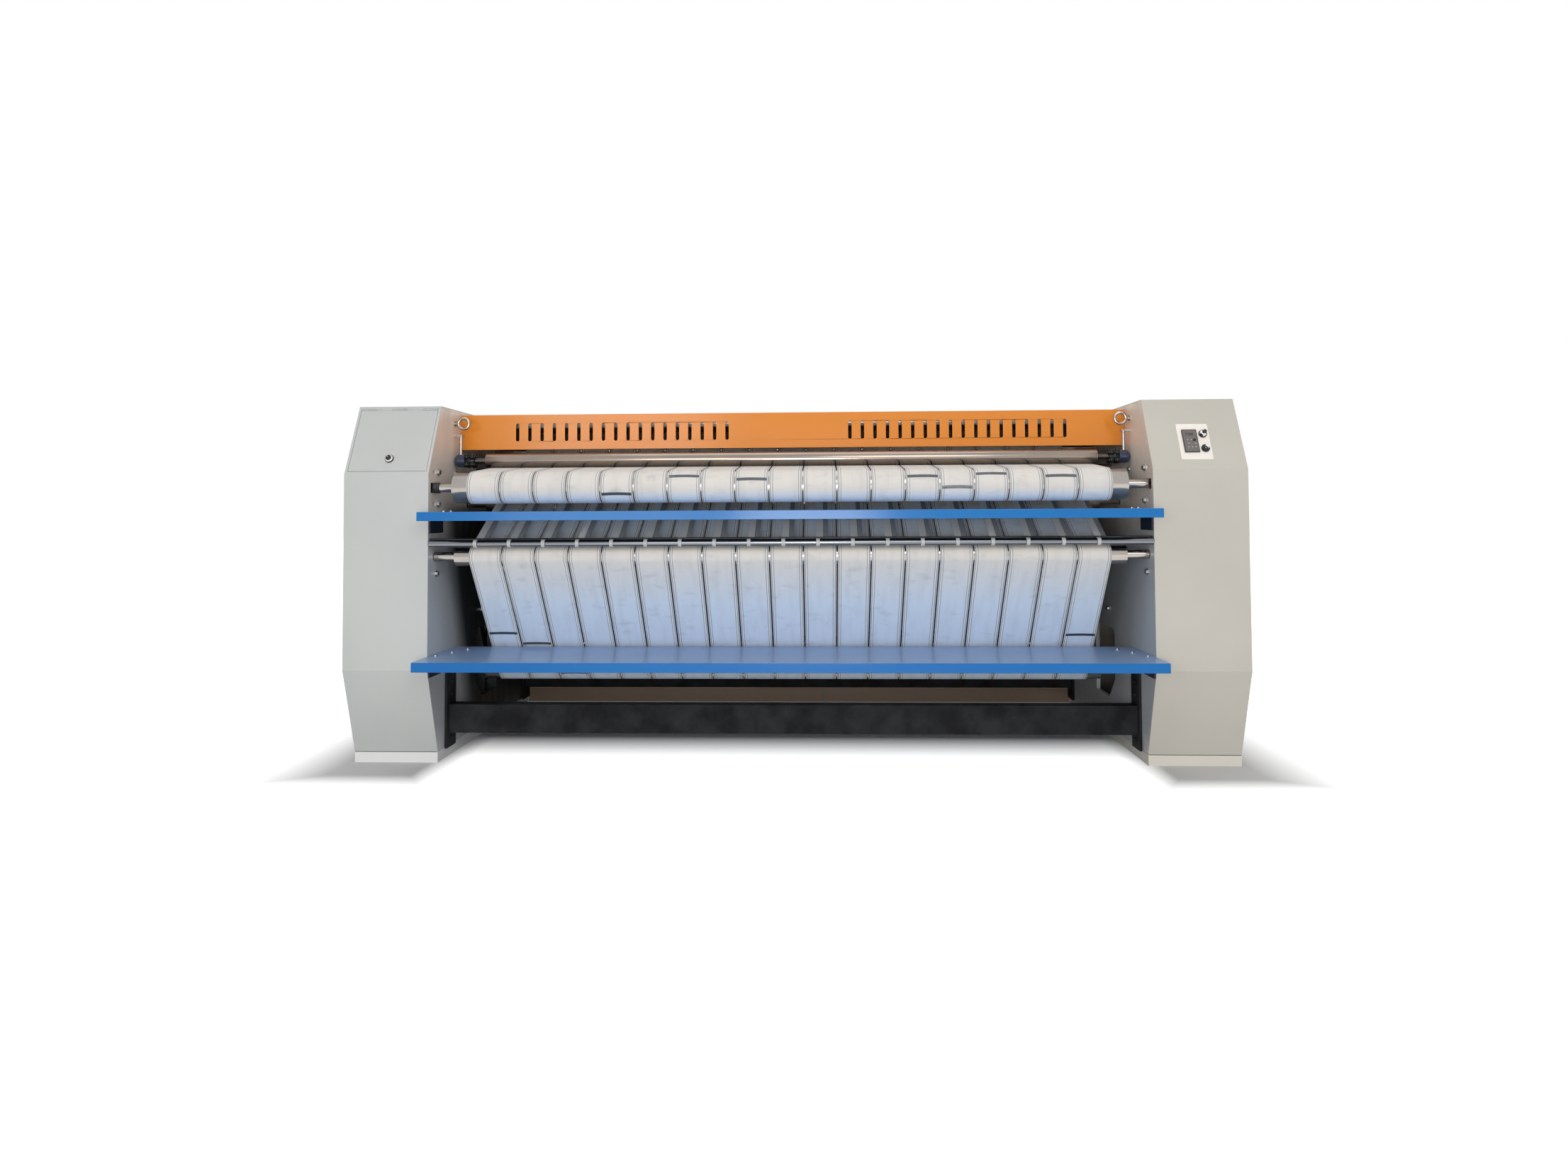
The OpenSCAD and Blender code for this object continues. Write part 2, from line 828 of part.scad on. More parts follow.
// A bracket's flat carries the shelf's end, and its web is bolted to the side frame
bracket_l = 84;
bracket_t = 6;
bracket_h = 80;
bracket_d = 10;
module bracket(z, w, web) {
    along_x(left_in, bracket_l) translate([bracket_d, z - bracket_t]) square([w, bracket_t]);
    along_x(left_in, bracket_t) translate([bracket_d, z - bracket_h]) square([web, bracket_h]);
}

module shelf_brackets() {
    upper = upper_w - upper_out - sheet - bracket_d;
    color("midnightblue") mirror_ends() {
        bracket(upper_z - sheet, upper, upper);
        bracket(lower_top - sheet, lower_w - lower_out - sheet - bracket_d,
            beam_d - plate_half - 2 * bracket_d);
    }
}

shelf_screw_r = 8;
upper_screws = [[45, 40], [45, 114]];
lower_screws = [[25, 20], [55, 110], [85, 200]];
module shelf_screws() {
    color("lightgray") mirror_ends() {
        for (k = upper_screws) translate([left_in + k[0], face_y + k[1], upper_z]) screw_head(shelf_screw_r);
        for (k = lower_screws) translate([left_in + k[0], face_y + k[1], lower_top]) screw_head(shelf_screw_r);
    }
}

bolt_back = 39;
low_bolt = [15, -67];
window_bolt = [80, 78];
press_bolt = [5, -51];
bolt_r = 10;
washer_r = 13;
bolt_at = [feed_at + [bolt_back, bolt_drop], feed_at + [bolt_back, -bolt_drop], lower_at + low_bolt,
    [window_d, window_z + window_h] + window_bolt];
module frame_bolts() {
    color("gainsboro") mirror_ends() {
        for (b = bolt_at) translate([left_in, face_y + b[0], b[1]]) rotate([0, 90, 0]) {
            cylinder(h = 2, r = washer_r);
            hex_head(bolt_r, bolt_r - 1);
        }
        translate([left_in, face_y + press_at[0] + press_bolt[0], press_at[1] + press_bolt[1]])
            rotate([0, 90, 0]) hex_head(bolt_r - 2, bolt_r - 4);
    }
}

// Chain drive in the left cabinet
chain_out = 85;
chain_x = left_in - plate_t - chain_out;
big_r = 120;
small_r = 45;
motor_back = 150;
motor_z = 380;
motor_at = [drum_d + motor_back, motor_z];
gearbox_r = 60;
gearbox_t = 70;
gearbox_half = 50;
gearbox_h = 210;
motor_r = 48;
motor_l = 100;
tooth = 6;
chain_fit = 1;

// Outline of a sprocket, each tooth a short trapezium
function teeth_points(r, n) = [for (i = [0 : n - 1], k = [[-0.3, -tooth], [-0.15, 0], [0.15, 0], [0.3, -tooth]])
    (r + k[1]) * [cos((i + k[0]) * 360 / n), sin((i + k[0]) * 360 / n)]];

module sprocket(at, r, n, bore) {
    along_x(chain_x - 4, 8) translate(at) difference() {
        polygon(teeth_points(r, n));
        circle(bore);
    }
}

module drum_sprocket() {
    color("dimgray") sprocket(drum_at, big_r, 38, journal_r + run_fit);
}

module drive_sprocket() {
    color("dimgray") {
        sprocket(motor_at, small_r, 14, shaft_r - 1);
        bar_x(motor_at, shaft_r, chain_x - 12, chain_x + 30);
    }
}

module drive_chain() {
    color("gray") translate([chain_x - 8, face_y, 0]) rotate([90, 0, 90]) linear_extrude(16) difference() {
        loop_outline([[drum_at, big_r + 10, 1], [motor_at, small_r + 10, 1]]);
        loop_outline([[drum_at, big_r + chain_fit, 1], [motor_at, small_r + chain_fit, 1]]);
    }
}

module gear_motor() {
    color("slategray") difference() {
        union() {
            bar_x(motor_at, gearbox_r, chain_x + 14, left_in - plate_t);
            translate([chain_x + 14, face_y + motor_at[0] - gearbox_half, motor_at[1] - gearbox_h])
                cube([gearbox_t, 2 * gearbox_half, gearbox_h]);
            translate([left_in - plate_t - motor_r - 2, face_y + motor_at[0],
                motor_at[1] - gearbox_h - motor_l + 10]) cylinder(h = motor_l, r = motor_r);
        }
        bar_x(motor_at, shaft_r + run_fit, chain_x + 13, chain_x + 40);
    }
}

left_side_frame();
right_side_frame();
left_cabinet();
right_cabinet();
left_flap();
flap_hinge();
flap_lock();
control_plate();
keypad();
display();
key(0);  // key_1
key(1);  // key_2
key(2);  // key_3
key(3);  // key_4
key(4);  // key_5
key(5);  // key_6
key(6);  // key_7
keypad_dial();
knob(1);  // knob_upper
knob(-1);  // knob_lower
skirtings();
feet();
front_beam();
rear_beam();
beam_plates();
guard();
guard_bar();
eye_bolts();
top_cover();
rear_cover();
drum();
drum_bearings();
feed_roller();
rear_feed_roller();
pressure_roller();
pressure_flanges();
pressure_caps();
pressure_rods();
lower_roller();
nose_roller();
nip_roller();
bottom_roller();
rear_low_roller();
rear_top_roller();
roller_bearings();
feed_belts();
ironing_belts();
finger_rod();
fingers();
finger_rings();
tie_rod();
upper_shelf();
lower_shelf();
shelf_brackets();
shelf_screws();
frame_bolts();
drum_sprocket();
drive_sprocket();
drive_chain();
gear_motor();
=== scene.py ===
"""Looks of a flatwork ironer: finishes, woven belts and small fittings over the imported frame.

Lengths are in metres, X along the rollers, Y from the feeding side to the back, and Z up.
"""
import json
import logging
import math
from dataclasses import dataclass, field
from enum import Enum

import bmesh
import bpy
from mathutils import Matrix, Vector


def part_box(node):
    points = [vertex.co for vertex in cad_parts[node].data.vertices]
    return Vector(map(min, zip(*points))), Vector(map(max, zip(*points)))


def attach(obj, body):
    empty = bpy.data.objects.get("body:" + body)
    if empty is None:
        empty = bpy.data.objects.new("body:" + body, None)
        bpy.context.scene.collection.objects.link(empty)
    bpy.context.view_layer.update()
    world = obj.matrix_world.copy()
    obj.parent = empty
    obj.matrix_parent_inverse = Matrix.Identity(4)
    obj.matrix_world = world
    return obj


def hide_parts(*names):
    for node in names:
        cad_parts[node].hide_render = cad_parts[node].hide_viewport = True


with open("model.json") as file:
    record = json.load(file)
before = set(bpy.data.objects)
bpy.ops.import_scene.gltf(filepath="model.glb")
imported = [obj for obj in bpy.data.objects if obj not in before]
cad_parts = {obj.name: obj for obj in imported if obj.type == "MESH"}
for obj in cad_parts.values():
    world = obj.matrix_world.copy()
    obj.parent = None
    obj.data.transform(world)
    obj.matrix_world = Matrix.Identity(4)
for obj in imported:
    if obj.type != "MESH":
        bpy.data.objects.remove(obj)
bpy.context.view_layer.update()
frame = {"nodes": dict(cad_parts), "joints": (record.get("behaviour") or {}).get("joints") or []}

Colour = tuple[float, float, float, float]
Levels = tuple[float, float]  # two values that something runs between
Ramp = tuple[float, float, float]  # where it starts, where it ends, and the most that it gives
Mesh = bmesh.types.BMesh
Vert = bmesh.types.BMVert
Node = bpy.types.Node
Piece = bpy.types.Object
Socket = bpy.types.NodeSocket
Tree = bpy.types.NodeTree

LOG = logging.getLogger("ironer")
MM = 0.001
X_AXIS = Vector((1.0, 0.0, 0.0)).freeze()
Y_AXIS = Vector((0.0, 1.0, 0.0)).freeze()
Z_AXIS = Vector((0.0, 0.0, 1.0)).freeze()
ORIGIN = Vector((0.0, 0.0, 0.0)).freeze()
WHITE = (1.0, 1.0, 1.0, 1.0)
FACET_TILT = math.atan2(125.0, 276.0)  # the cabinets' upper facets lean back 125 mm in 276 mm
BELT_COUNT = 19
WAVE_PITCH = 0.314  # from band to band of a wave texture at a scale of 1, in metres
WELD = 0.01 * MM  # joins the loose triangles of a CAD node's mesh under its bevel
MERGE = 0.002 * MM  # joins the doubles that a spin or a bevel leaves
BROKEN_ANGLE = math.radians(40)  # a CAD edge sharper than this is broken
SHARP_ANGLE = math.radians(38)  # a sharper edge of a new piece is shaded as an edge
SMALL_EDGE = 0.3 * MM  # by which most new blocks are broken at their edges


def linear(colour: str) -> Colour:
    """Turn an sRGB hex colour to linear light.

    Args:
        colour: six hex digits after a hash sign.

    Returns:
        Red, green, blue and an alpha of one.
    """
    parts = [int(colour[i : i + 2], 16) / 255 for i in (1, 3, 5)]
    return (*[p / 12.92 if p <= 0.04045 else ((p + 0.055) / 1.055) ** 2.4 for p in parts], 1.0)


def connect(tree: Tree, node: Node, inputs: dict) -> None:
    """Link or set a node's inputs.

    Args:
        tree: node tree that the node is in.
        node: the node.
        inputs: for each input, a value, a socket, or a node whose first output in use is taken.
    """
    for key, value in inputs.items():
        if isinstance(value, Node):
            value = next(socket for socket in value.outputs if socket.enabled)
        if isinstance(value, Socket):
            tree.links.new(value, node.inputs[key])
        else:
            node.inputs[key].default_value = value


def add_node(tree: Tree, kind: str, inputs: dict | None = None, **settings) -> Node:
    """Add one shader node with its settings and links.

    Args:
        tree: node tree that gets the node.
        kind: the node's type, without the word ShaderNode.
        inputs: what each input gets, by name or number, as connect takes it.
        settings: properties of the node.

    Returns:
        The new node.
    """
    node = tree.nodes.new("ShaderNode" + kind)
    for name, value in settings.items():
        setattr(node, name, value)
    connect(tree, node, inputs or {})
    return node


def joint_of(name: str) -> tuple[Vector, Vector]:
    """Return the place and the axis of one of the frame's joints."""
    joint = next(joint for joint in frame["joints"] if joint["name"] == name)
    return Vector(joint["pos_m"]), Vector(joint["axis"])


def middle(node: str) -> Vector:
    """Return the middle of a CAD node's box."""
    low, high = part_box(node)
    return (low + high) / 2


def on_facet(place: Vector) -> Matrix:
    """Find the matrix from a facet's own axes to a place on the machine.

    Args:
        place: where the facet's origin goes.

    Returns:
        The matrix, whose X runs across the facet, Y up its slope and Z out of it.
    """
    out = Vector((0.0, -math.cos(FACET_TILT), math.sin(FACET_TILT)))
    up = Vector((0.0, math.sin(FACET_TILT), math.cos(FACET_TILT)))
    return Matrix.Translation(place) @ Matrix((X_AXIS, up, out)).transposed().to_4x4()


@dataclass(frozen=True)
class Finish:
    """A surface finish, which becomes one material named for what the real surface is."""

    name: str
    colour: str
    roughness: float
    metallic: float = 0.0
    gloss_from: Levels = (0.3, 0.7)  # strengths of the marks between which the gloss changes
    gloss_to: Levels = (-0.05, 0.08)  # what they change the roughness by
    relief_share: float = 0.5

    def material(self) -> bpy.types.Material:
        """Build the finish's material, or find it where it has been asked for before.

        Returns:
            The material.
        """
        found = bpy.data.materials.get(self.name)
        if found:
            return found
        made = bpy.data.materials.new(self.name)
        made.use_nodes = True
        tree = made.node_tree
        shader = tree.nodes["Principled BSDF"]
        own = {"Base Color": linear(self.colour), "Roughness": self.roughness}
        connect(tree, shader, own | {"Metallic": self.metallic})
        self.build(tree, shader, add_node(tree, "TexCoord"))
        return made

    def build(self, tree: Tree, shader: Node, place: Node) -> None:
        """Add what is this finish's own to its shader.

        Args:
            tree: the material's node tree.
            shader: its main shader.
            place: the node that gives coordinates in metres.
        """
        raise NotImplementedError

    def rubbed(self, tree: Tree, marks: Node) -> Node:
        """Vary the gloss with marks on the surface.

        Args:
            tree: the material's node tree.
            marks: the node that gives the marks.

        Returns:
            The node that gives the roughness.
        """
        low, high = self.gloss_from
        smooth, dull = (self.roughness + change for change in self.gloss_to)
        gloss = {"Value": marks, "From Min": low, "From Max": high}
        return add_node(tree, "MapRange", gloss | {"To Min": smooth, "To Max": dull})

    def stained(self, tree: Tree, marks: Node, ramp: Ramp, tone: str) -> Node:
        """Lay a second tone over the colour where the marks are strong.

        Args:
            tree: the material's node tree.
            marks: the node that gives the marks.
            ramp: the marks' strengths where the tone starts and is full, and its full share.
            tone: the second tone's sRGB hex colour.

        Returns:
            The node that gives the colour.
        """
        low, high, most = ramp
        share = {"Value": marks, "From Min": low, "From Max": high, "To Max": most}
        both = {0: add_node(tree, "MapRange", share), 6: linear(self.colour), 7: linear(tone)}
        return add_node(tree, "Mix", both, data_type="RGBA")


@dataclass(frozen=True)
class PowderCoat(Finish):
    """Powder coat or paint on sheet steel: two near tones in clouds, with a fine orange peel.

    A sheet may have another colour past a place on an axis. Where it has painted shade on its
    underside, its upper side is pale with fluff and a painted sheen.
    """

    shade: str = "#BABCBB"
    patch: float = 0.45
    cloud_ramp: Ramp = (0.35, 0.7, 0.6)
    peel: float = 3.0 * MM  # real peel is about 1 mm wide, drawn coarser so that it shows
    coat: float = 0.0
    shine: float = 0.5
    beyond: str | None = None
    beyond_axis: str = "X"
    beyond_from: float = 0.0
    # painted shade, on faces that look down
    underside_shade: str | None = None
    under_from: float = -0.5  # the normal's Z below which a face is underside
    # pale fluff with a painted sheen, on faces that lie level
    lint_and_sheen: str = "#AEC2DE"
    lint_and_sheen_ramp: Ramp = (0.5, 0.9, 0.6)  # by the normal's Z, so that it lies on what is level
    rub: float = 0.12
    wave: float = 0.6
    wave_share: float = 15.0
    relief: float = 0.03 * MM
    relief_share: float = 0.6
    coat_roughness: float = 0.16

    def build(self, tree: Tree, shader: Node, place: Node) -> None:
        """Colour the sheet, rub its gloss here and there, and give it peel and slow waves.

        Args:
            tree: the material's node tree.
            shader: its main shader.
            place: the node that gives coordinates in metres.
        """
        where = place.outputs["Object"]
        scuffs = {"Vector": where, "Scale": 1 / self.rub, "Detail": 5.0}
        gloss = self.rubbed(tree, add_node(tree, "TexNoise", scuffs))
        slow = {"Vector": where, "Scale": 1 / self.wave, "Detail": 1.0}
        fine = {"Vector": where, "Scale": 1 / self.peel, "Detail": 2.0}
        slow, fine = [add_node(tree, "TexNoise", noise) for noise in (slow, fine)]
        sheet = {0: slow, 1: self.wave_share, 2: fine}
        height = add_node(tree, "Math", sheet, operation="MULTIPLY_ADD")
        relief = {"Height": height, "Distance": self.relief, "Strength": self.relief_share}
        made = {"Base Color": self.paint(tree, where), "Normal": add_node(tree, "Bump", relief)}
        made |= {"Roughness": gloss, "Specular IOR Level": self.shine}
        made |= {"Coat Weight": self.coat, "Coat Roughness": self.coat_roughness}
        connect(tree, shader, made)

    def paint(self, tree: Tree, where: Socket) -> Node:
        """Lay the coat's tones over each other.

        Args:
            tree: the material's node tree.
            where: coordinates in metres.

        Returns:
            The node that gives the colour.
        """
        clouds = {"Vector": where, "Scale": 1 / self.patch, "Detail": 3.0}
        clouds = add_node(tree, "TexNoise", clouds)
        paint = self.stained(tree, clouds, self.cloud_ramp, self.shade)
        tones = []
        if self.beyond:
            along = add_node(tree, "SeparateXYZ", {"Vector": where}).outputs[self.beyond_axis]
            past = {0: along, 1: self.beyond_from}
            tones.append((add_node(tree, "Math", past, operation="GREATER_THAN"), self.beyond))
        # Painted shade on faces that look down, and fluff with a painted sheen on faces that lie
        # level.
        if self.underside_shade:
            normal = add_node(tree, "NewGeometry").outputs["Normal"]
            facing = add_node(tree, "SeparateXYZ", {"Vector": normal}).outputs["Z"]
            down = {0: facing, 1: self.under_from}
            tones.append((add_node(tree, "Math", down, operation="LESS_THAN"), self.underside_shade))
            low, high, most = self.lint_and_sheen_ramp
            lying = {"Value": facing, "From Min": low, "From Max": high, "To Max": most}
            tones.append((add_node(tree, "MapRange", lying), self.lint_and_sheen))
        for share, tone in tones:
            both = {0: share, 6: paint, 7: linear(tone)}
            paint = add_node(tree, "Mix", both, data_type="RGBA")
        return paint


@dataclass(frozen=True)
class RolledPlate(Finish):
    """Grey primer rubbed thin on rolled plate: cloudy, painted cool shade low down, painted shadow
    near the drum.
    """

    shade: str = "#C6BAB0"
    # painted shade: the cooler tone that the plate takes low down
    low: str = "#C2C8CD"
    # painted shadow: the dark patch on the left plate near the drum
    painted_shadow: str = "#1D1E20"
    smear: float = 0.16
    smear_share: float = 0.35
    cloud: float = 0.5
    grain: float = 2.0 * MM  # real grain is about 0.5 mm, drawn coarser so that it shows
    relief: float = 0.05 * MM
    relief_share: float = 0.4
    cloud_ramp: Ramp = (0.5, 0.85, 1.0)
    painted_cool_ramp: Ramp = (1.0, 0.78, 0.85)  # by height
    shadow_below: Levels = (1.04, 0.96)
    shadow_slope: float = 0.3
    shadow_ramp: Ramp = (-0.17, -0.03, 0.95)  # by depth, and by height times the slope
    gloss_from: Levels = (0.3, 0.75)
    gloss_to: Levels = (-0.1, 0.15)

    def build(self, tree: Tree, shader: Node, place: Node) -> None:
        """Lay smears, clouds, a painted cool shade and a painted shadow over each other.

        Args:
            tree: the material's node tree.
            shader: its main shader.
            place: the node that gives coordinates in metres.
        """
        where = place.outputs["Object"]
        parts = add_node(tree, "SeparateXYZ", {"Vector": where}).outputs
        # Drawn out upwards, as a wiped plate shows it.
        upright = add_node(tree, "Mapping", {"Vector": where, "Scale": (3.0, 3.0, 0.4)})
        smears = {"Vector": upright, "Scale": 1 / self.smear, "Detail": 5.0}
        smears = add_node(tree, "TexNoise", smears)
        clouds = {"Vector": where, "Scale": 1 / self.cloud, "Detail": 3.0}
        both = {0: smears, 1: self.smear_share, 2: add_node(tree, "TexNoise", clouds)}
        both = add_node(tree, "Math", both, operation="MULTIPLY_ADD")
        paint = self.stained(tree, both, self.cloud_ramp, self.shade)
        # The painted cool shade grows towards the floor.
        high, low, most = self.painted_cool_ramp
        cool = {"Value": parts["Z"], "From Min": high, "From Max": low, "To Max": most}
        cool = add_node(tree, "MapRange", cool)
        # The painted cool shade low down, then the painted shadow on the left plate.
        for share, tone in ((cool, self.low), (self.film(tree, parts), self.painted_shadow)):
            paint = add_node(tree, "Mix", {0: share, 6: paint, 7: linear(tone)}, data_type="RGBA")
        grain = {"Vector": where, "Scale": 1 / self.grain, "Detail": 3.0}
        relief = {"Height": add_node(tree, "TexNoise", grain), "Distance": self.relief}
        made = {"Base Color": paint, "Roughness": self.rubbed(tree, smears)}
        made |= {"Normal": add_node(tree, "Bump", relief | {"Strength": self.relief_share})}
        connect(tree, shader, made)

    def film(self, tree: Tree, parts: bpy.types.NodeOutputs) -> Node:
        """Spread the painted shadow on the left plate, behind a slanting line and below the
        rollers.

        Args:
            tree: the material's node tree.
            parts: X, Y and Z in metres.

        Returns:
            The node that gives the painted shadow's share.
        """
        slant = {0: parts["Z"], 1: self.shadow_slope, 2: parts["Y"]}
        slant = add_node(tree, "Math", slant, operation="MULTIPLY_ADD")
        near, far, most = self.shadow_ramp
        deep = {"Value": slant, "From Min": near, "From Max": far, "To Max": most}
        high, low = self.shadow_below
        below = {"Value": parts["Z"], "From Min": high, "From Max": low}
        both = {0: add_node(tree, "MapRange", deep), 1: add_node(tree, "MapRange", below)}
        both = add_node(tree, "Math", both, operation="MULTIPLY")
        left = add_node(tree, "Math", {0: parts["X"], 1: 0.0}, operation="LESS_THAN")
        return add_node(tree, "Math", {0: both, 1: left}, operation="MULTIPLY")


@dataclass(frozen=True)
class TurnedSteel(Finish):
    """Steel turned or ground on a lathe: fine rings round X, and stains that dull them."""

    ring: float = 1.5 * MM  # real rings are about 0.1 mm apart, drawn coarser so that they show
    depth: float = 0.001 * MM
    stain: str = "#77797C"
    stain_size: float = 0.25
    stain_ramp: Ramp = (0.45, 0.8, 0.5)
    gloss_to: Levels = (-0.03, 0.05)

    def build(self, tree: Tree, shader: Node, place: Node) -> None:
        """Lay the rings and the stains.

        Args:
            tree: the material's node tree.
            shader: its main shader.
            place: the node that gives coordinates in metres.
        """
        where = place.outputs["Object"]
        # Drawn out round X, which makes rings of the noise.
        round_x = add_node(tree, "Mapping", {"Vector": where, "Scale": (1.0, 0.02, 0.02)})
        rings = {"Vector": round_x, "Scale": 1 / self.ring, "Detail": 4.0}
        rings = add_node(tree, "TexNoise", rings)
        wiped = add_node(tree, "Mapping", {"Vector": where, "Scale": (1.0, 3.0, 3.0)})
        marks = {"Vector": wiped, "Scale": 1 / self.stain_size, "Detail": 4.0}
        marks = add_node(tree, "TexNoise", marks)
        relief = {"Height": rings, "Distance": self.depth, "Strength": self.relief_share}
        made = {"Base Color": self.stained(tree, marks, self.stain_ramp, self.stain)}
        made |= {"Roughness": self.rubbed(tree, rings), "Normal": add_node(tree, "Bump", relief)}
        connect(tree, shader, made)


@dataclass(frozen=True)
class Plated(Finish):
    """Zinc, chrome or black oxide on small steel pieces: a thin film with faint blotches."""

    shade: str = "#8A8D90"
    patch: float = 12 * MM
    blotch_ramp: Ramp = (0.4, 0.7, 0.7)
    gloss_to: Levels = (-0.04, 0.12)

    def build(self, tree: Tree, shader: Node, place: Node) -> None:
        """Vary the colour and gloss in blotches.

        Args:
            tree: the material's node tree.
            shader: its main shader.
            place: the node that gives coordinates in metres.
        """
        blotches = {"Vector": place.outputs["Object"], "Scale": 1 / self.patch, "Detail": 4.0}
        blotches = add_node(tree, "TexNoise", blotches)
        film = self.stained(tree, blotches, self.blotch_ramp, self.shade)
        made = {"Base Color": film, "Roughness": self.rubbed(tree, blotches)}
        connect(tree, shader, made)


@dataclass(frozen=True)
class Moulded(Finish):
    """Moulded plastic or rubber: one deep colour with a fine spark grain and a little dust."""

    grain: float = 0.8 * MM
    depth: float = 0.03 * MM
    dust: str = "#8C8A86"
    dusty: float = 0.12
    dust_size: float = 25 * MM
    dust_from: Levels = (0.45, 0.75)

    def build(self, tree: Tree, shader: Node, place: Node) -> None:
        """Add the grain and the dust.

        Args:
            tree: the material's node tree.
            shader: its main shader.
            place: the node that gives coordinates in metres.
        """
        where = place.outputs["Object"]
        fluff = {"Vector": where, "Scale": 1 / self.dust_size, "Detail": 5.0}
        fluff = add_node(tree, "TexNoise", fluff)
        colour = self.stained(tree, fluff, (*self.dust_from, self.dusty), self.dust)
        spark = {"Vector": where, "Scale": 1 / self.grain, "Detail": 2.0}
        relief = {"Height": add_node(tree, "TexNoise", spark), "Distance": self.depth}
        relief = add_node(tree, "Bump", relief | {"Strength": self.relief_share})
        connect(tree, shader, {"Base Color": colour, "Normal": relief})


@dataclass(frozen=True)
class CottonCanvas(Finish):
    """Woven cotton duck with sewn hems: dull, off-white, grey along its edges, worn in patches.

    It reads the belt's own UV map in metres: U across the belt plus one for each belt, V along it.
    Its cool tone in shaded places is painted shade, and its paler hems are a painted highlight.
    """

    width: float = 124.5 * MM
    thread: float = 2.6 * MM  # real threads are about 0.8 mm apart, drawn coarser so that they show
    wander: float = 0.6
    weave_share: float = 0.10
    sheen: float = 0.12
    sheen_roughness: float = 0.6
    relief: float = 0.25 * MM
    seams: Levels = (4.5 * MM, 12.5 * MM)  # from the edge
    seam_width: float = 2.2 * MM
    sewn_share: float = 0.85
    hem_highlight_share: float = 0.4
    hem_blur: float = 1.0 * MM
    border: float = 1.5 * MM
    border_share: float = 0.35
    soil: str = "#7E838A"
    # painted highlight: the paler tone of the raised hems
    hem_highlight: str = "#EEEDEB"
    # painted shade: the cool blue of the cloth where it lies in shade
    cool: str = "#D4E3F4"
    cool_shade_low_ramp: Ramp = (0.83, 0.62, 0.95)  # by height
    cool_shade_down_ramp: Ramp = (-0.25, -0.75, 0.9)  # by the normal's Z
    cool_shade_behind_ramp: Ramp = (-0.50, -0.44, 0.9)  # by depth, behind the rod
    feed_from: float = 1.0  # the feed belts are above this height
    streak: float = 20 * MM
    streak_ramp: Ramp = (0.45, 0.8, 0.16)
    smudge: float = 50 * MM
    smudge_ramp: Ramp = (0.58, 0.8, 0.3)

    def build(self, tree: Tree, shader: Node, place: Node) -> None:
        """Weave the threads, sew the hems, soil the cloth and paint its cool shade and hem
        highlights.

        Args:
            tree: the material's node tree.
            shader: its main shader.
            place: the node that gives coordinates in metres.
        """
        flat = place.outputs["UV"]
        across = add_node(tree, "SeparateXYZ", {"Vector": flat}).outputs["X"]
        across = add_node(tree, "Math", {0: across}, operation="FRACT")
        other = add_node(tree, "Math", {0: self.width, 1: across}, operation="SUBTRACT")
        edge = add_node(tree, "Math", {0: across, 1: other}, operation="MINIMUM")
        # The hems, from the edge to the farther seam, get the painted highlight.
        hem = {"Value": edge, "From Min": self.seams[1], "From Max": self.seams[1] - self.hem_blur}
        hem |= {"To Max": self.hem_highlight_share}
        weave = self.weave(tree, flat)
        sewn = self.seam_lines(tree, edge)
        shown = add_node(tree, "Math", {0: weave, 1: self.weave_share}, operation="MULTIPLY")
        shown = {0: sewn, 1: self.sewn_share, 2: shown}
        # Painted cool shade, painted hem highlights, soil, then the seams and the weave.
        tones = (
            (self.painted_cool_shade(tree, place), self.cool),
            (add_node(tree, "MapRange", hem), self.hem_highlight),
            (self.dirt(tree, flat, edge), self.soil),
            (add_node(tree, "Math", shown, operation="MULTIPLY_ADD"), self.soil),
        )
        cloth = linear(self.colour)
        for share, tone in tones:
            cloth = add_node(tree, "Mix", {0: share, 6: cloth, 7: linear(tone)}, data_type="RGBA")
        deep = add_node(tree, "Math", {0: weave, 1: sewn}, operation="SUBTRACT")
        relief = {"Height": deep, "Distance": self.relief, "Strength": self.relief_share}
        made = {"Base Color": cloth, "Normal": add_node(tree, "Bump", relief)}
        made |= {"Sheen Weight": self.sheen, "Sheen Roughness": self.sheen_roughness}
        connect(tree, shader, made)

    def painted_cool_shade(self, tree: Tree, place: Node) -> Node:
        """Find the painted cool shade: low down, behind the rod, and where feed belts look down.

        Args:
            tree: the material's node tree.
            place: the node that gives coordinates in metres.

        Returns:
            The node that gives the painted cool shade's share.
        """
        parts = add_node(tree, "SeparateXYZ", {"Vector": place.outputs["Object"]}).outputs
        normal = add_node(tree, "NewGeometry").outputs["Normal"]
        facing = add_node(tree, "SeparateXYZ", {"Vector": normal}).outputs["Z"]
        shares = []
        for value, (start, end, most) in (
            (parts["Z"], self.cool_shade_low_ramp), (facing, self.cool_shade_down_ramp), (parts["Y"], self.cool_shade_behind_ramp)
        ):
            share = {"Value": value, "From Min": start, "From Max": end, "To Max": most}
            shares.append(add_node(tree, "MapRange", share))
        low, down, behind = shares
        iron = add_node(tree, "Math", {0: parts["Z"], 1: self.feed_from}, operation="LESS_THAN")
        either = add_node(tree, "Mix", {0: iron, 2: down, 3: behind})
        return add_node(tree, "Math", {0: low, 1: either}, operation="MAXIMUM")

    def dirt(self, tree: Tree, flat: Socket, edge: Node) -> Node:
        """Soil the cloth: worn streaks along the belt, smudges across it and a grey border.

        Args:
            tree: the material's node tree.
            flat: the belt's own coordinates.
            edge: the node that gives the distance from the nearer edge.

        Returns:
            The node that gives the soil's share.
        """
        shares = []
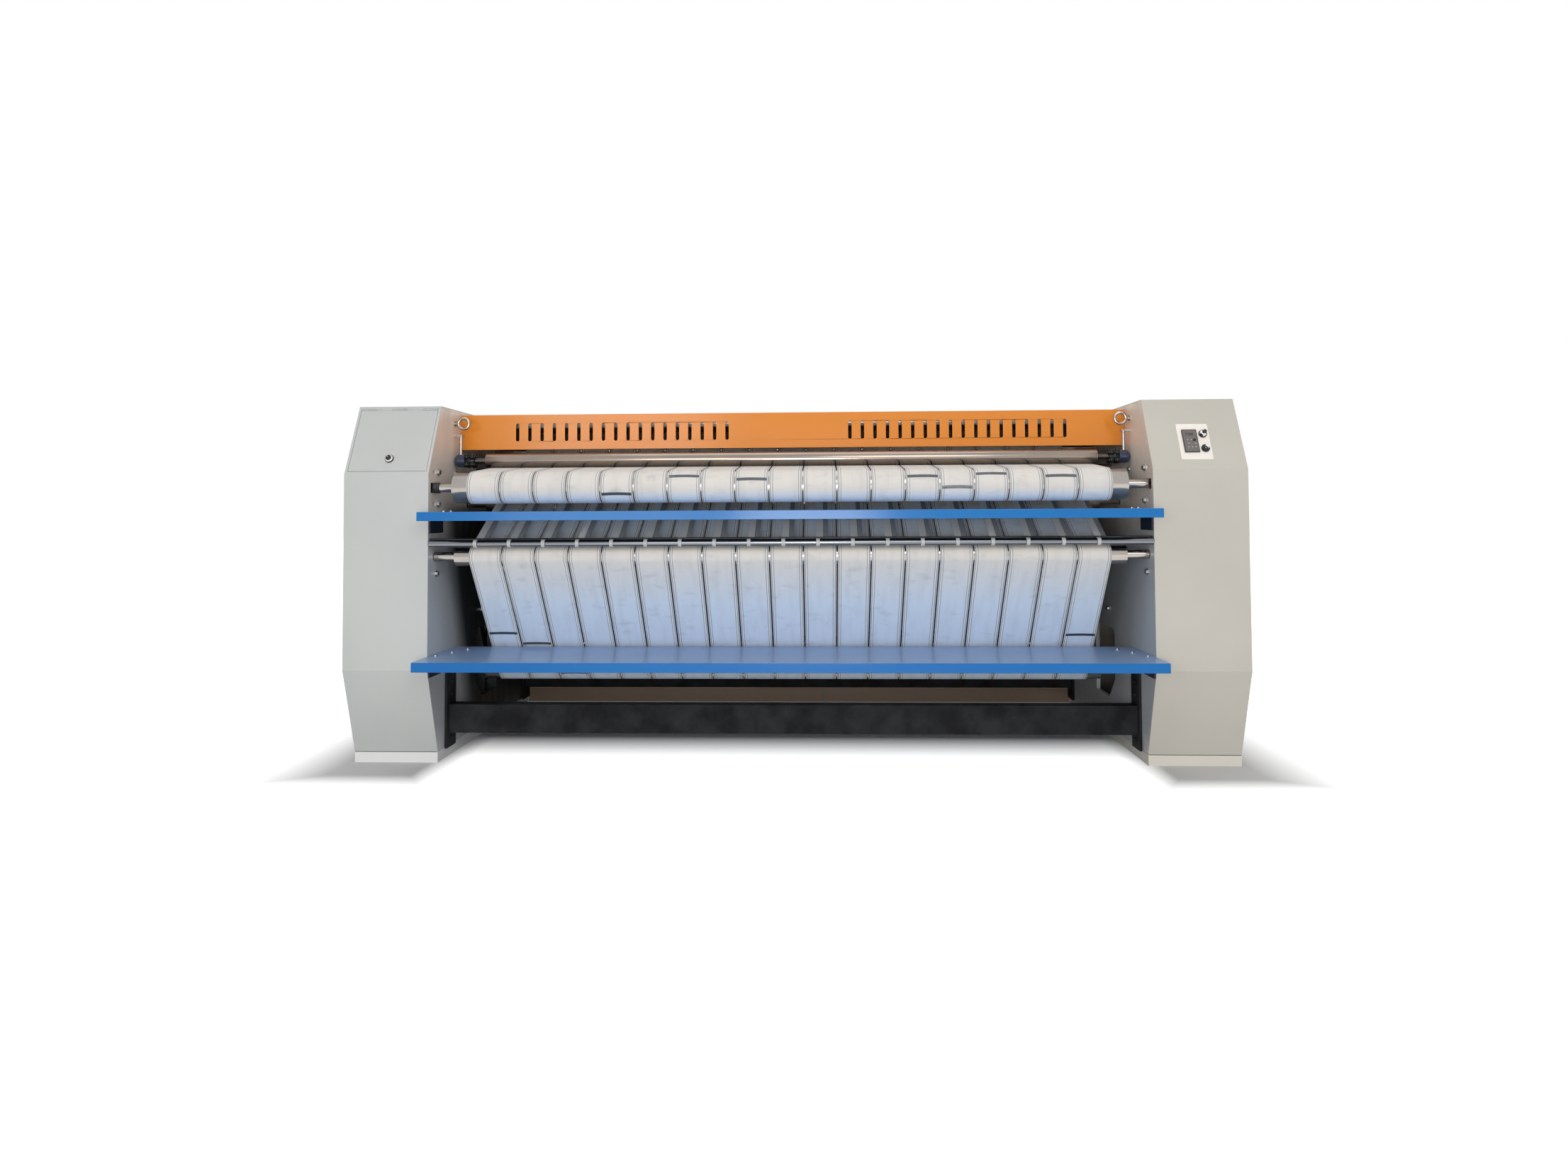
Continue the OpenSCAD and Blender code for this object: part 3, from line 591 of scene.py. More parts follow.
        # Streaks are drawn out along the belt, and smudges across it.
        for stretched, size, detail, (low, high, most) in (
            ((0.6, 0.12, 1.0), self.streak, 3.0, self.streak_ramp),
            ((0.5, 1.0, 1.0), self.smudge, 4.0, self.smudge_ramp),
        ):
            along = add_node(tree, "Mapping", {"Vector": flat, "Scale": stretched})
            marks = {"Vector": along, "Scale": 1 / size, "Detail": detail}
            worn = {"Value": add_node(tree, "TexNoise", marks), "From Min": low, "From Max": high}
            shares.append(add_node(tree, "MapRange", worn | {"To Max": most}))
        both = add_node(tree, "Math", {0: shares[0], 1: shares[1]}, operation="ADD")
        border = {"Value": edge, "From Max": self.border, "To Min": self.border_share}
        border = add_node(tree, "MapRange", border | {"To Max": 0.0})
        return add_node(tree, "Math", {0: both, 1: border}, operation="MAXIMUM")

    def weave(self, tree: Tree, flat: Socket) -> Node:
        """Weave warp and weft.

        Args:
            tree: the material's node tree.
            flat: the belt's own coordinates.

        Returns:
            The node that gives the threads' height, from zero to one.
        """
        threads = {"Vector": flat, "Scale": WAVE_PITCH / self.thread, "Distortion": self.wander}
        threads |= {"Detail": 1.0}
        warp, weft = [
            add_node(tree, "TexWave", threads, bands_direction=way).outputs["Fac"] for way in "XY"
        ]
        return add_node(tree, "Math", {0: warp, 1: weft}, operation="MULTIPLY")

    def seam_lines(self, tree: Tree, edge: Node) -> Node:
        """Sew the lines that run beside the belt's edges.

        Args:
            tree: the material's node tree.
            edge: the node that gives the distance from the nearer edge.

        Returns:
            The node that gives one on the lines and zero elsewhere.
        """
        near, far = [
            add_node(tree, "Math", {0: edge, 1: seam, 2: self.seam_width / 2}, operation="COMPARE")
            for seam in self.seams
        ]
        return add_node(tree, "Math", {0: near, 1: far}, operation="ADD")


@dataclass(frozen=True)
class Glossy(Finish):
    """Gloss enamel or a window over a dark ground, with a clear coat that mirrors the lamps."""

    coat: float = 0.8
    coat_roughness: float = 0.08
    dust_size: float = 9 * MM
    gloss_from: Levels = (0.4, 0.75)
    gloss_to: Levels = (0.0, 0.15)

    def build(self, tree: Tree, shader: Node, place: Node) -> None:
        """Add the clear coat and faint dust in it.

        Args:
            tree: the material's node tree.
            shader: its main shader.
            place: the node that gives coordinates in metres.
        """
        dust = {"Vector": place.outputs["Object"], "Scale": 1 / self.dust_size, "Detail": 5.0}
        made = {"Roughness": self.rubbed(tree, add_node(tree, "TexNoise", dust))}
        made |= {"Coat Weight": self.coat, "Coat Roughness": self.coat_roughness}
        connect(tree, shader, made)


class Finishes(Enum):
    """Every finish on the machine, each with what it gives the eye."""

    # Satin cool grey, even from afar, with broad soft clouds where the sheet isn't quite flat.
    CABINET_LEFT = PowderCoat("cool grey powder coat", "#C3C5C3", 0.42)
    # The same coat in a warmer grey, with a touch of yellow.
    CABINET_RIGHT = PowderCoat("warm grey powder coat", "#C6C2B8", 0.42, shade="#BCB8AE")
    # A bright mirror the size of a coin, with faint grey blotches.
    LOCK = Plated("chromed lock face", "#ECEAE8", 0.12, 1.0, shade="#CFCDCB")
    # Deep black that shows its shape by its shine alone.
    LOCK_PLUG = Moulded("black lock plug", "#101011", 0.3, dusty=0.02)
    # The lightest band of the cabinets, near the floor, warmer on the right.
    SKIRTING = PowderCoat(
        "skirting powder coat", "#E8E9E7", 0.42, shade="#DEDFDD", beyond="#D8D4C9"
    )
    # Brown with dust and heat inside the machine, clean grey on the outer face.
    COVER = PowderCoat(
        "cover powder coat", "#B59C86", 0.5, shade="#8E7867",
        beyond="#C5C1B7", beyond_axis="Y", beyond_from=0.7165,
    )
    # Thin primer over rolled steel: warm smears above, painted cool shade below, painted shadow
    # inside.
    PLATE = RolledPlate("grey primed plate", "#E2D7CB", 0.42, 0.15)
    # Strong orange with a clear gloss on it, a little uneven along its length.
    ORANGE = PowderCoat(
        "orange powder coat", "#E08420", 0.42, shade="#DC8628",
        patch=0.6, cloud_ramp=(0.35, 0.7, 0.8), coat=0.7, shine=0.1,
    )
    # Clear blue, pale and dull on top with fluff and a painted sheen, and with painted shade below.
    BLUE = PowderCoat(
        "blue powder coat", "#0266B0", 0.38, shade="#0C6EB4",
        coat=0.35, shine=0.1, underside_shade="#34363C",
    )
    # The same blue with more gloss, so that its lip catches the lamps; the same painted shade below
    # and painted sheen on top.
    GLOSSY_BLUE = PowderCoat(
        "glossy blue powder coat", "#066CB4", 0.38, shade="#1474B8",
        coat=0.45, shine=0.1, underside_shade="#34363C",
    )
    # Wet-looking dark blue with sharp reflections on a domed end.
    NAVY = Glossy("navy gloss enamel", "#1C2A4A", 0.2)
    # Satin blue-black on small brackets in shade.
    NAVY_SHEET = PowderCoat(
        "navy powder coat", "#1C2132", 0.45, shade="#262C3E", shine=0.2
    )
    # Dull black on heavy steel, cloudy with dust.
    BLACK = PowderCoat(
        "black machine paint", "#17181A", 0.6, shade="#333437",
        patch=0.09, cloud_ramp=(0.35, 0.7, 0.8), shine=0.1,
    )
    # Black enamel over a casting's skin, with small broken highlights.
    CAST = PowderCoat(
        "black paint on cast iron", "#111214", 0.34, shade="#1E1F23",
        patch=0.02, coat=0.2, shine=0.2,
    )
    # Plain brown rubber, dusty and without gloss: a sheet hung as painted shade where the floor
    # lies in shadow.
    APRON = Moulded("brown rubber sheet", "#A8907B", 0.6, dusty=0.4)
    # A dull dark line in a joint.
    GASKET = Moulded("black joint strip", "#4A4A4E", 0.6)
    # Bright rings from the lathe, with a highlight that runs along the roller.
    STAINLESS = TurnedSteel("turned stainless steel", "#AEA7A0", 0.17, 1.0)
    # Nearly a mirror, slightly warm, with broad faint rings and no grooves.
    POLISHED = TurnedSteel(
        "polished stainless steel", "#9A8D82", 0.2, 1.0, ring=3 * MM, depth=0.0
    )
    # Smooth ground steel, a little duller than the rollers.
    CHROME = TurnedSteel("ground drum steel", "#A9A9A9", 0.2, 1.0, ring=4 * MM)
    # Cool silver with one long bright line.
    ROD = TurnedSteel("drawn steel rod", "#7A7D82", 0.2, 1.0)
    # A pale bar with a soft highlight.
    BAR = TurnedSteel("bright guide bar", "#F0EFED", 0.3, 0.4)
    # Brown with heat, and dull.
    SLEEVE = TurnedSteel("browned shaft", "#4C4641", 0.34, 1.0)
    # Almost black, with a thin grey highlight.
    DARK_ROD = TurnedSteel("blackened steel rod", "#3A3A3D", 0.38, 0.9)
    # Light grey metal with the faint blotches of its zinc.
    ZINC = Plated("zinc plated steel", "#B4B6B8", 0.3, 1.0)
    # Warm bright metal that mirrors dark and light in bands.
    RING = Plated("bright nickel plate", "#B4ACA4", 0.16, 1.0, shade="#857D76")
    # Charcoal screws and chain with a low oily shine.
    OXIDE = Plated("black oxide steel", "#3B3C40", 0.42, 0.8, shade="#26272A")
    # Grey wire worn bright and dark from hook to hook.
    LACING = Plated("worn lacing wire", "#696D73", 0.36, 0.8, shade="#474A50", patch=4 * MM)
    # Milky grey plastic with soft edges.
    NYLON = Moulded("grey nylon", "#BEBFC0", 0.45)
    # Pale coated steel, cleaner than the belts behind it.
    STRIP = PowderCoat("grey coated strip", "#D9DCE0", 0.4, shade="#C6CAD0", patch=0.12)
    # Painted shadow: a darker band beside each pale finger, where its shadow falls on the belts.
    FINGER_SHADOW = Moulded("painted shadow strip", "#858A91", 0.5)
    # Off-white cloth without gloss: threads, two sewn lines, worn streaks and grey edges.
    # It has painted cool shade in shaded places and painted highlights on its hems.
    CANVAS = CottonCanvas("cotton canvas", "#DED9D2", 0.85)
    # Clean warm white, the brightest place on the right cabinet.
    IVORY = PowderCoat("ivory plate", "#F8F1E9", 0.4, shade="#EFE7DD", patch=0.08)
    # Soft dark grey film, a little dusty.
    KEYPAD = Moulded("dark grey keypad film", "#6B6563", 0.42, dusty=0.15)
    # A thin black frame.
    BEZEL = Moulded("black keypad bezel", "#2A2626", 0.45, dusty=0.05)
    # Mid-grey rubber, lighter than the film round it.
    KEY = Moulded("grey key rubber", "#7C7573", 0.5)
    # A light dot that marks the key.
    KEY_DOT = Moulded("light key mark", "#BDB7B2", 0.5, dusty=0.05)
    # Smoked window with a sharp reflection.
    DISPLAY = Glossy("display window", "#554E4C", 0.2)
    # The darker strip behind the window, where figures would light up.
    DIGITS = Glossy("display strip", "#2A2524", 0.15)
    # Black plastic with round highlights.
    KNOB = Moulded("black knob plastic", "#161617", 0.3, dusty=0.05)
    # Off-white plastic that stands out on the black knobs.
    CAP = Moulded("white cap plastic", "#EFECE6", 0.35, dusty=0.03)
    # So dark a red that it reads black but for its highlight.
    DIAL = Moulded("dark red dial plastic", "#241013", 0.3, dusty=0.05)
    # Matt black with grey dust.
    RUBBER = Moulded("black rubber", "#202022", 0.75, dusty=0.3)
    # Blue-grey enamel in small clouds.
    MOTOR = PowderCoat("grey motor enamel", "#5F6A72", 0.4, shade="#525C64", patch=0.1)


class Assembly:
    """A sub-assembly that finishes its CAD nodes and adds pieces of its own."""

    def build(self) -> None:
        """Make and dress every piece of the sub-assembly."""
        raise NotImplementedError

    def dress(self, finish: Finishes, *nodes: str, edge: float = 0.0) -> None:
        """Give CAD nodes their finish.

        Args:
            finish: the finish they get.
            nodes: names of the nodes.
            edge: width of the rounding that breaks their sharp edges, or zero for none.
        """
        for name in nodes:
            node = frame["nodes"][name]
            material = finish.value.material()
            for place in node.material_slots:
                place.material = material
            if not node.material_slots:
                node.data.materials.append(material)
            if edge:
                weld = node.modifiers.new("weld", "WELD")
                weld.merge_threshold = WELD
                bevel = node.modifiers.new("bevel", "BEVEL")
                bevel.width = edge
                bevel.segments = 2
                bevel.limit_method = "ANGLE"
                bevel.angle_limit = BROKEN_ANGLE
            LOG.info("%s: %s", name, material.name)

    def add(
        self,
        name: str,
        mesh: Mesh,
        finish: Finishes,
        body: str,
        slot: str,
        facet: Vector | None = None,
        shell: bool = False,
    ) -> Piece:
        """Turn a bmesh into a piece that rides on a body.

        Args:
            name: name of the piece.
            mesh: its shape, which is freed here.
            finish: its finish.
            body: the body that it rides on.
            slot: the record's material slot, which is not used.
            facet: place on a cabinet's upper facet that it is turned to, unless it is in place.
            shell: whether it is an open sheet, whose faces keep their direction.

        Returns:
            The new object.
        """
        if facet is not None:
            bmesh.ops.transform(mesh, matrix=on_facet(facet), verts=mesh.verts)
        bmesh.ops.remove_doubles(mesh, verts=mesh.verts, dist=MERGE)
        if not shell:
            bmesh.ops.recalc_face_normals(mesh, faces=mesh.faces)
        data = bpy.data.meshes.new(name)
        mesh.to_mesh(data)
        mesh.free()
        data.polygons.foreach_set("use_smooth", [True] * len(data.polygons))
        data.set_sharp_from_angle(angle=SHARP_ANGLE)
        data.materials.append(finish.value.material())
        piece = bpy.data.objects.new(name, data)
        bpy.context.scene.collection.objects.link(piece)
        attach(piece, body)
        LOG.info("%s: %d faces", name, len(data.polygons))
        return piece

    def turn_shape(
        self,
        mesh: Mesh,
        profile: list[tuple[float, float]],
        centre: Vector,
        axis: Vector = X_AXIS,
        steps: int = 32,
    ) -> None:
        """Spin a profile round an axis, as on a lathe.

        Args:
            mesh: the bmesh that gets the shape.
            profile: distance along the axis and radius of each point, from one end to the other.
            centre: point of the axis that the distances start from.
            axis: direction of the axis, of length one.
            steps: faces round the axis.
        """
        turn = X_AXIS.rotation_difference(axis)
        verts = [mesh.verts.new(centre + turn @ Vector((x, 0.0, radius))) for x, radius in profile]
        edges = [mesh.edges.new(pair) for pair in zip(verts, verts[1:])]
        bmesh.ops.spin(
            mesh, geom=verts + edges, cent=centre, axis=axis,
            angle=math.tau, steps=steps, use_merge=True,
        )

    def screw(self, mesh: Mesh, place: Vector, axis: Vector, r: float, h: float) -> None:
        """Add a domed screw head with a socket.

        Args:
            mesh: the bmesh that gets it.
            place: where it stands.
            axis: the way out that it points.
            r: radius of the head.
            h: height of the head.
        """
        dome = [(0.0, 0.0), (0.0, r), (0.55 * h, r), (0.85 * h, 0.85 * r), (h, 0.55 * r)]
        socket = [(h, 0.42 * r), (0.4 * h, 0.42 * r), (0.4 * h, 0.0)]
        self.turn_shape(mesh, dome + socket, place, axis, 12)

    def block(
        self, mesh: Mesh, low: tuple | Vector, high: tuple | Vector, edge: float = 0.0
    ) -> list[Vert]:
        """Add a block between two corners.

        Args:
            mesh: the bmesh that gets it.
            low: its lowest corner.
            high: its highest corner.
            edge: width by which its edges are broken.

        Returns:
            Its vertices.
        """
        low, high = Vector(low), Vector(high)
        verts = bmesh.ops.create_cube(mesh, size=1.0)["verts"]
        bmesh.ops.scale(mesh, verts=verts, vec=high - low)
        bmesh.ops.translate(mesh, verts=verts, vec=(low + high) / 2)
        if not edge:
            return verts
        edges = list({line for vert in verts for line in vert.link_edges})
        made = bmesh.ops.bevel(
            mesh, geom=edges, offset=edge, segments=2, profile=0.5, affect="EDGES", material=-1
        )
        return list({vert for face in made["faces"] for vert in face.verts})


@dataclass(frozen=True)
class Wheel:
    """A bar seen along X, which a belt may bend round; side is 1 inside the loop, -1 outside it."""

    y: float
    z: float
    r: float
    side: int = 1

    @classmethod
    def of(cls, node: str, side: int = 1) -> "Wheel":
        """Read a round bar's place and radius from its CAD node."""
        low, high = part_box(node)
        return cls((low.y + high.y) / 2, (low.z + high.z) / 2, (high.z - low.z) / 2, side)

    def centre(self, x: float = 0.0) -> Vector:
        """Return the bar's centre at this place along X."""
        return Vector((x, self.y, self.z))


@dataclass(frozen=True)
class Stretch:
    """A straight stretch of belt between wheels, its direction an angle from Y towards Z."""

    start: Vector
    end: Vector
    angle: float


@dataclass(frozen=True)
class LacingPlace:
    """Where a belt is laced: a point of the loop and the way out of the belt there."""

    point: Vector
    out: Vector


@dataclass
class BeltLoop:
    """The path of a belt round its wheels, counter-clockwise as seen from +X."""

    wheels: list[Wheel]
    lift: float
    sag: float = 0.12 * MM
    free_step: float = 110 * MM

    def stretches(self) -> list[Stretch]:
        """Return the straight stretch that leaves each wheel."""
        following = self.wheels[1:] + self.wheels[:1]
        return [self.between(a, b) for a, b in zip(self.wheels, following)]

    def between(self, a: Wheel, b: Wheel) -> Stretch:
        """Find the stretch that touches two wheels.

        Args:
            a: the wheel that it leaves.
            b: the wheel that it reaches.

        Returns:
            The stretch.
        """
        way = b.centre() - a.centre()
        reach_a = (a.r + self.lift) * a.side
        reach_b = (b.r + self.lift) * b.side
        angle = math.atan2(way.z, way.y) - math.asin((reach_b - reach_a) / way.length)
        out = Vector((0.0, math.sin(angle), -math.cos(angle)))
        return Stretch(a.centre() + reach_a * out, b.centre() + reach_b * out, angle)

    def chain(self, mesh: Mesh, x: float) -> list[Vert]:
        """Draw the loop at x as one closed chain of edges, spun round each wheel in turn.

        Args:
            mesh: the bmesh that gets it.
            x: place of the chain along the rollers.

        Returns:
            Its vertices in order.
        """
        runs = self.stretches()
        shift = x * X_AXIS
        order = [mesh.verts.new(shift + runs[-1].end)]
        for before, run, wheel in zip(runs[-1:] + runs[:-1], runs, self.wheels):
            turn = run.angle - before.angle
            turn = turn % math.tau if wheel.side > 0 else -((-turn) % math.tau)
            steps = max(1, math.ceil(abs(turn) / (2 * math.acos(1 - self.sag / wheel.r))))
            pivot = wheel.centre(x)
            step = Matrix.Rotation(turn / steps, 3, "X")
            for _ in range(steps):
                self.grow(mesh, order, pivot + step @ (order[-1].co - pivot))
            pieces = max(1, math.ceil((run.end - run.start).length / self.free_step))
            for i in range(1, pieces + 1):
                self.grow(mesh, order, shift + run.start.lerp(run.end, i / pieces))
        last = order.pop()
        bmesh.ops.pointmerge(mesh, verts=[order[0], last], merge_co=order[0].co)
        return order

    def grow(self, mesh: Mesh, order: list[Vert], place: Vector) -> None:
        """Extrude the chain's last vertex.

        Args:
            mesh: the bmesh that the chain is in.
            order: its vertices in order, which get the new one.
            place: where the new vertex goes.
        """
        tip = bmesh.ops.extrude_vert_indiv(mesh, verts=[order[-1]])["verts"][0]
        tip.co = place
        order.append(tip)

    def length(self) -> float:
        """Measure the loop.

        Returns:
            Its length.
        """
        mesh = bmesh.new()
        self.chain(mesh, 0.0)
        total = sum(edge.calc_length() for edge in mesh.edges)
        mesh.free()
        return total

    def on_wheel(self, number: int, angle: float) -> LacingPlace:
        """Find a place on the part of the loop that bends round a wheel.

        Args:
            number: which wheel.
            angle: degrees above the middle of its front.

        Returns:
            The place.
        """
        wheel, rise = self.wheels[number], math.radians(angle)
        out = Vector((0.0, -math.cos(rise), math.sin(rise)))
        return LacingPlace(wheel.centre() + out * (wheel.r + self.lift), out)

    def on_run(self, number: int, height: float | None = None) -> LacingPlace:
        """Find a place on a straight stretch.

        Args:
            number: the wheel that the stretch leaves.
            height: its height, or none for the stretch's middle.

        Returns:
            The place.
        """
        run = self.stretches()[number]
        height = (run.start.z + run.end.z) / 2 if height is None else height
        share = (height - run.start.z) / (run.end.z - run.start.z)
        out = Vector((0.0, math.sin(run.angle), -math.cos(run.angle)))
        return LacingPlace(run.start.lerp(run.end, min(1.0, max(0.0, share))), out)


@dataclass
class BeltSet(Assembly):
    """A row of narrow canvas belts, each a sewn strip whose ends are laced with wire hooks."""

    node: str
    loop: BeltLoop
    rests_on: list[str]
    laced_at: dict[int, LacingPlace]
    hidden_at: LacingPlace
    width: float = 124.5 * MM
    thick: float = 2.4 * MM
    hem: float = 13 * MM
    hook_pitch: float = 3.6 * MM
    hook_reach: float = 12.5 * MM
    hook_w: float = 2.16 * MM
    hook_rise: float = 0.18 * MM
    hook_edge: float = 0.54 * MM
    wire: float = 1.8 * MM
    pin_l: float = 10.5 * MM
    pin_t: float = 1.08 * MM
    seated: float = 0.45 * MM
    bow: float = 2.5 * MM
    bow_cuts: int = 7
    lacing_in: float = 4 * MM

    def build(self) -> None:
        """Make each belt with its lacing in place of the CAD node's plain strips."""
        low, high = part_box(self.node)
        pitch = (high.x - low.x - self.width) / (BELT_COUNT - 1)
        flat = (self.width, self.loop.length())
        for number in range(1, BELT_COUNT + 1):
            x = low.x + (number - 1) * pitch
            place = self.laced_at.get(number, self.hidden_at)
            belt = self.belt(number, x, place)
            lacing = self.lacing(number, x, place)

    def belt(self, number: int, x: float, place: LacingPlace) -> Piece:
        """Make one belt, whose own UV map runs in metres from its lacing.

        Args:
            number: the belt's number from the left.
            x: its left edge.
            place: where it is laced.

        Returns:
            The belt.
        """
        mesh = bmesh.new()
        along = mesh.verts.layers.float.new("along")
        flat = mesh.loops.layers.uv.new("flat")
        order = self.loop.chain(mesh, x)
        away = [(vert.co.yz - place.point.yz).length for vert in order]
        first = away.index(min(away))
        order = order[first:] + order[:first]
        total = 0.0
        for vert, after in zip(order, order[1:] + order[:1]):
            vert[along] = total + away[first]
            total += (after.co - vert.co).length
        edges = list(mesh.edges)
        for step in (self.hem, self.width - 2 * self.hem, self.hem):
            made = bmesh.ops.extrude_edge_only(mesh, edges=edges)["geom"]
            verts = {item for item in made if isinstance(item, Vert)}
            lines = [item for item in made if isinstance(item, bmesh.types.BMEdge)]
            edges = [line for line in lines if verts.issuperset(line.verts)]
            bmesh.ops.translate(mesh, verts=list(verts), vec=step * X_AXIS)
        for face in mesh.faces:
            far = max(corner.vert[along] for corner in face.loops) > total / 2
            for corner in face.loops:
                run = corner.vert[along]
                wraps = far and run < total / 4
                corner[flat].uv = (number + corner.vert.co.x - x, run + (total if wraps else 0.0))
        bmesh.ops.recalc_face_normals(mesh, faces=mesh.faces)
        name = f"{self.node}_{number:02d}"
        belt = self.add(name, mesh, Finishes.CANVAS, "frame", "belt", shell=True)
        cloth = belt.modifiers.new("cloth", "SOLIDIFY")
        cloth.thickness = self.thick
        cloth.offset = 0.0
        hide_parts(self.node)
        return belt

    def lacing(self, number: int, x: float, place: LacingPlace) -> Piece:
        """Make the row of hooks that joins a belt's ends, and the dark pin strip behind them.

        Args:
            number: the belt's number from the left.
            x: its left edge.
            place: where it is laced.

        Returns:
            The lacing.
        """
        mesh = bmesh.new()
        strip = Vector((self.width - self.lacing_in, self.pin_l / 2, self.pin_t / 2))
        self.block(mesh, (self.lacing_in, -strip.y, -strip.z), strip)
        hooks = int((self.width - 2 * self.lacing_in - self.wire) / self.hook_pitch)
        first = (self.width - (hooks - 1) * self.hook_pitch) / 2
        reach = Vector((self.hook_w / 2, self.hook_reach / 2, self.wire / 2))
        for i in range(hooks):
            centre = Vector((first + i * self.hook_pitch, 0.0, self.hook_rise))
            self.block(mesh, centre - reach, centre + reach, self.hook_edge)
        cuts = [edge for edge in mesh.edges if edge.calc_length() > self.width / 2]
        bmesh.ops.subdivide_edges(mesh, edges=cuts, cuts=self.bow_cuts, use_grid_fill=True)
        for vert in mesh.verts:
            vert.co.y += self.bow * (1 - (2 * vert.co.x / self.width - 1) ** 2)
        turn = Matrix((X_AXIS, place.out.cross(X_AXIS), place.out)).transposed().to_4x4()
        seat = place.point + place.out * (self.thick / 2 + self.seated)
        placed = Matrix.Translation((x, seat.y, seat.z)) @ turn
        bmesh.ops.transform(mesh, matrix=placed, verts=mesh.verts)
        name = f"{self.node}_lacing_{number:02d}"
        return self.add(name, mesh, Finishes.LACING, "frame", "steel")


@dataclass
class Belts(Assembly):
    """The feed belts over the top rollers, and the ironing belts that hold the linen to the drum.

    Lacings that the eye meets are given by belt number: by degrees round the feed roller, or by
    height on the front run. All others lie where the loops are hidden.
    """

    fit: float = 0.3 * MM
    thick: float = 3.0 * MM
    feed_laced: dict[int, float] = field(
        default_factory=lambda: {5: -28, 7: 36, 9: 22, 14: 30, 15: -10, 16: 39, 18: 28}
    )
    front_laced: dict[int, float] = field(
        default_factory=lambda: {1: 0.489, 2: 0.443, 3: 0.306, 19: 0.481}
    )
    hidden_z: float = 0.7

    def build(self) -> None:
        """Lay out both loops from the rollers and make their belts."""
        lift = self.fit + self.thick / 2
        rollers = ["feed_roller", "rear_feed_roller"]
        feed = BeltLoop([Wheel.of(name) for name in rollers], lift)
        places = {number: feed.on_wheel(0, angle) for number, angle in self.feed_laced.items()}
        BeltSet("feed_belts", feed, rollers, places, feed.on_run(0)).build()
        names = ["nose_roller", "lower_roller", "bottom_roller"]
        names += ["rear_low_roller", "rear_top_roller", "nip_roller"]
        iron = BeltLoop([Wheel.of(name) for name in names] + [Wheel.of("drum", side=-1)], lift)
        places = {number: iron.on_run(1, height) for number, height in self.front_laced.items()}
        hidden = iron.on_run(3, self.hidden_z)
        rollers = ["lower_roller", "bottom_roller", "rear_top_roller"]
        BeltSet("ironing_belts", iron, rollers, places, hidden).build()


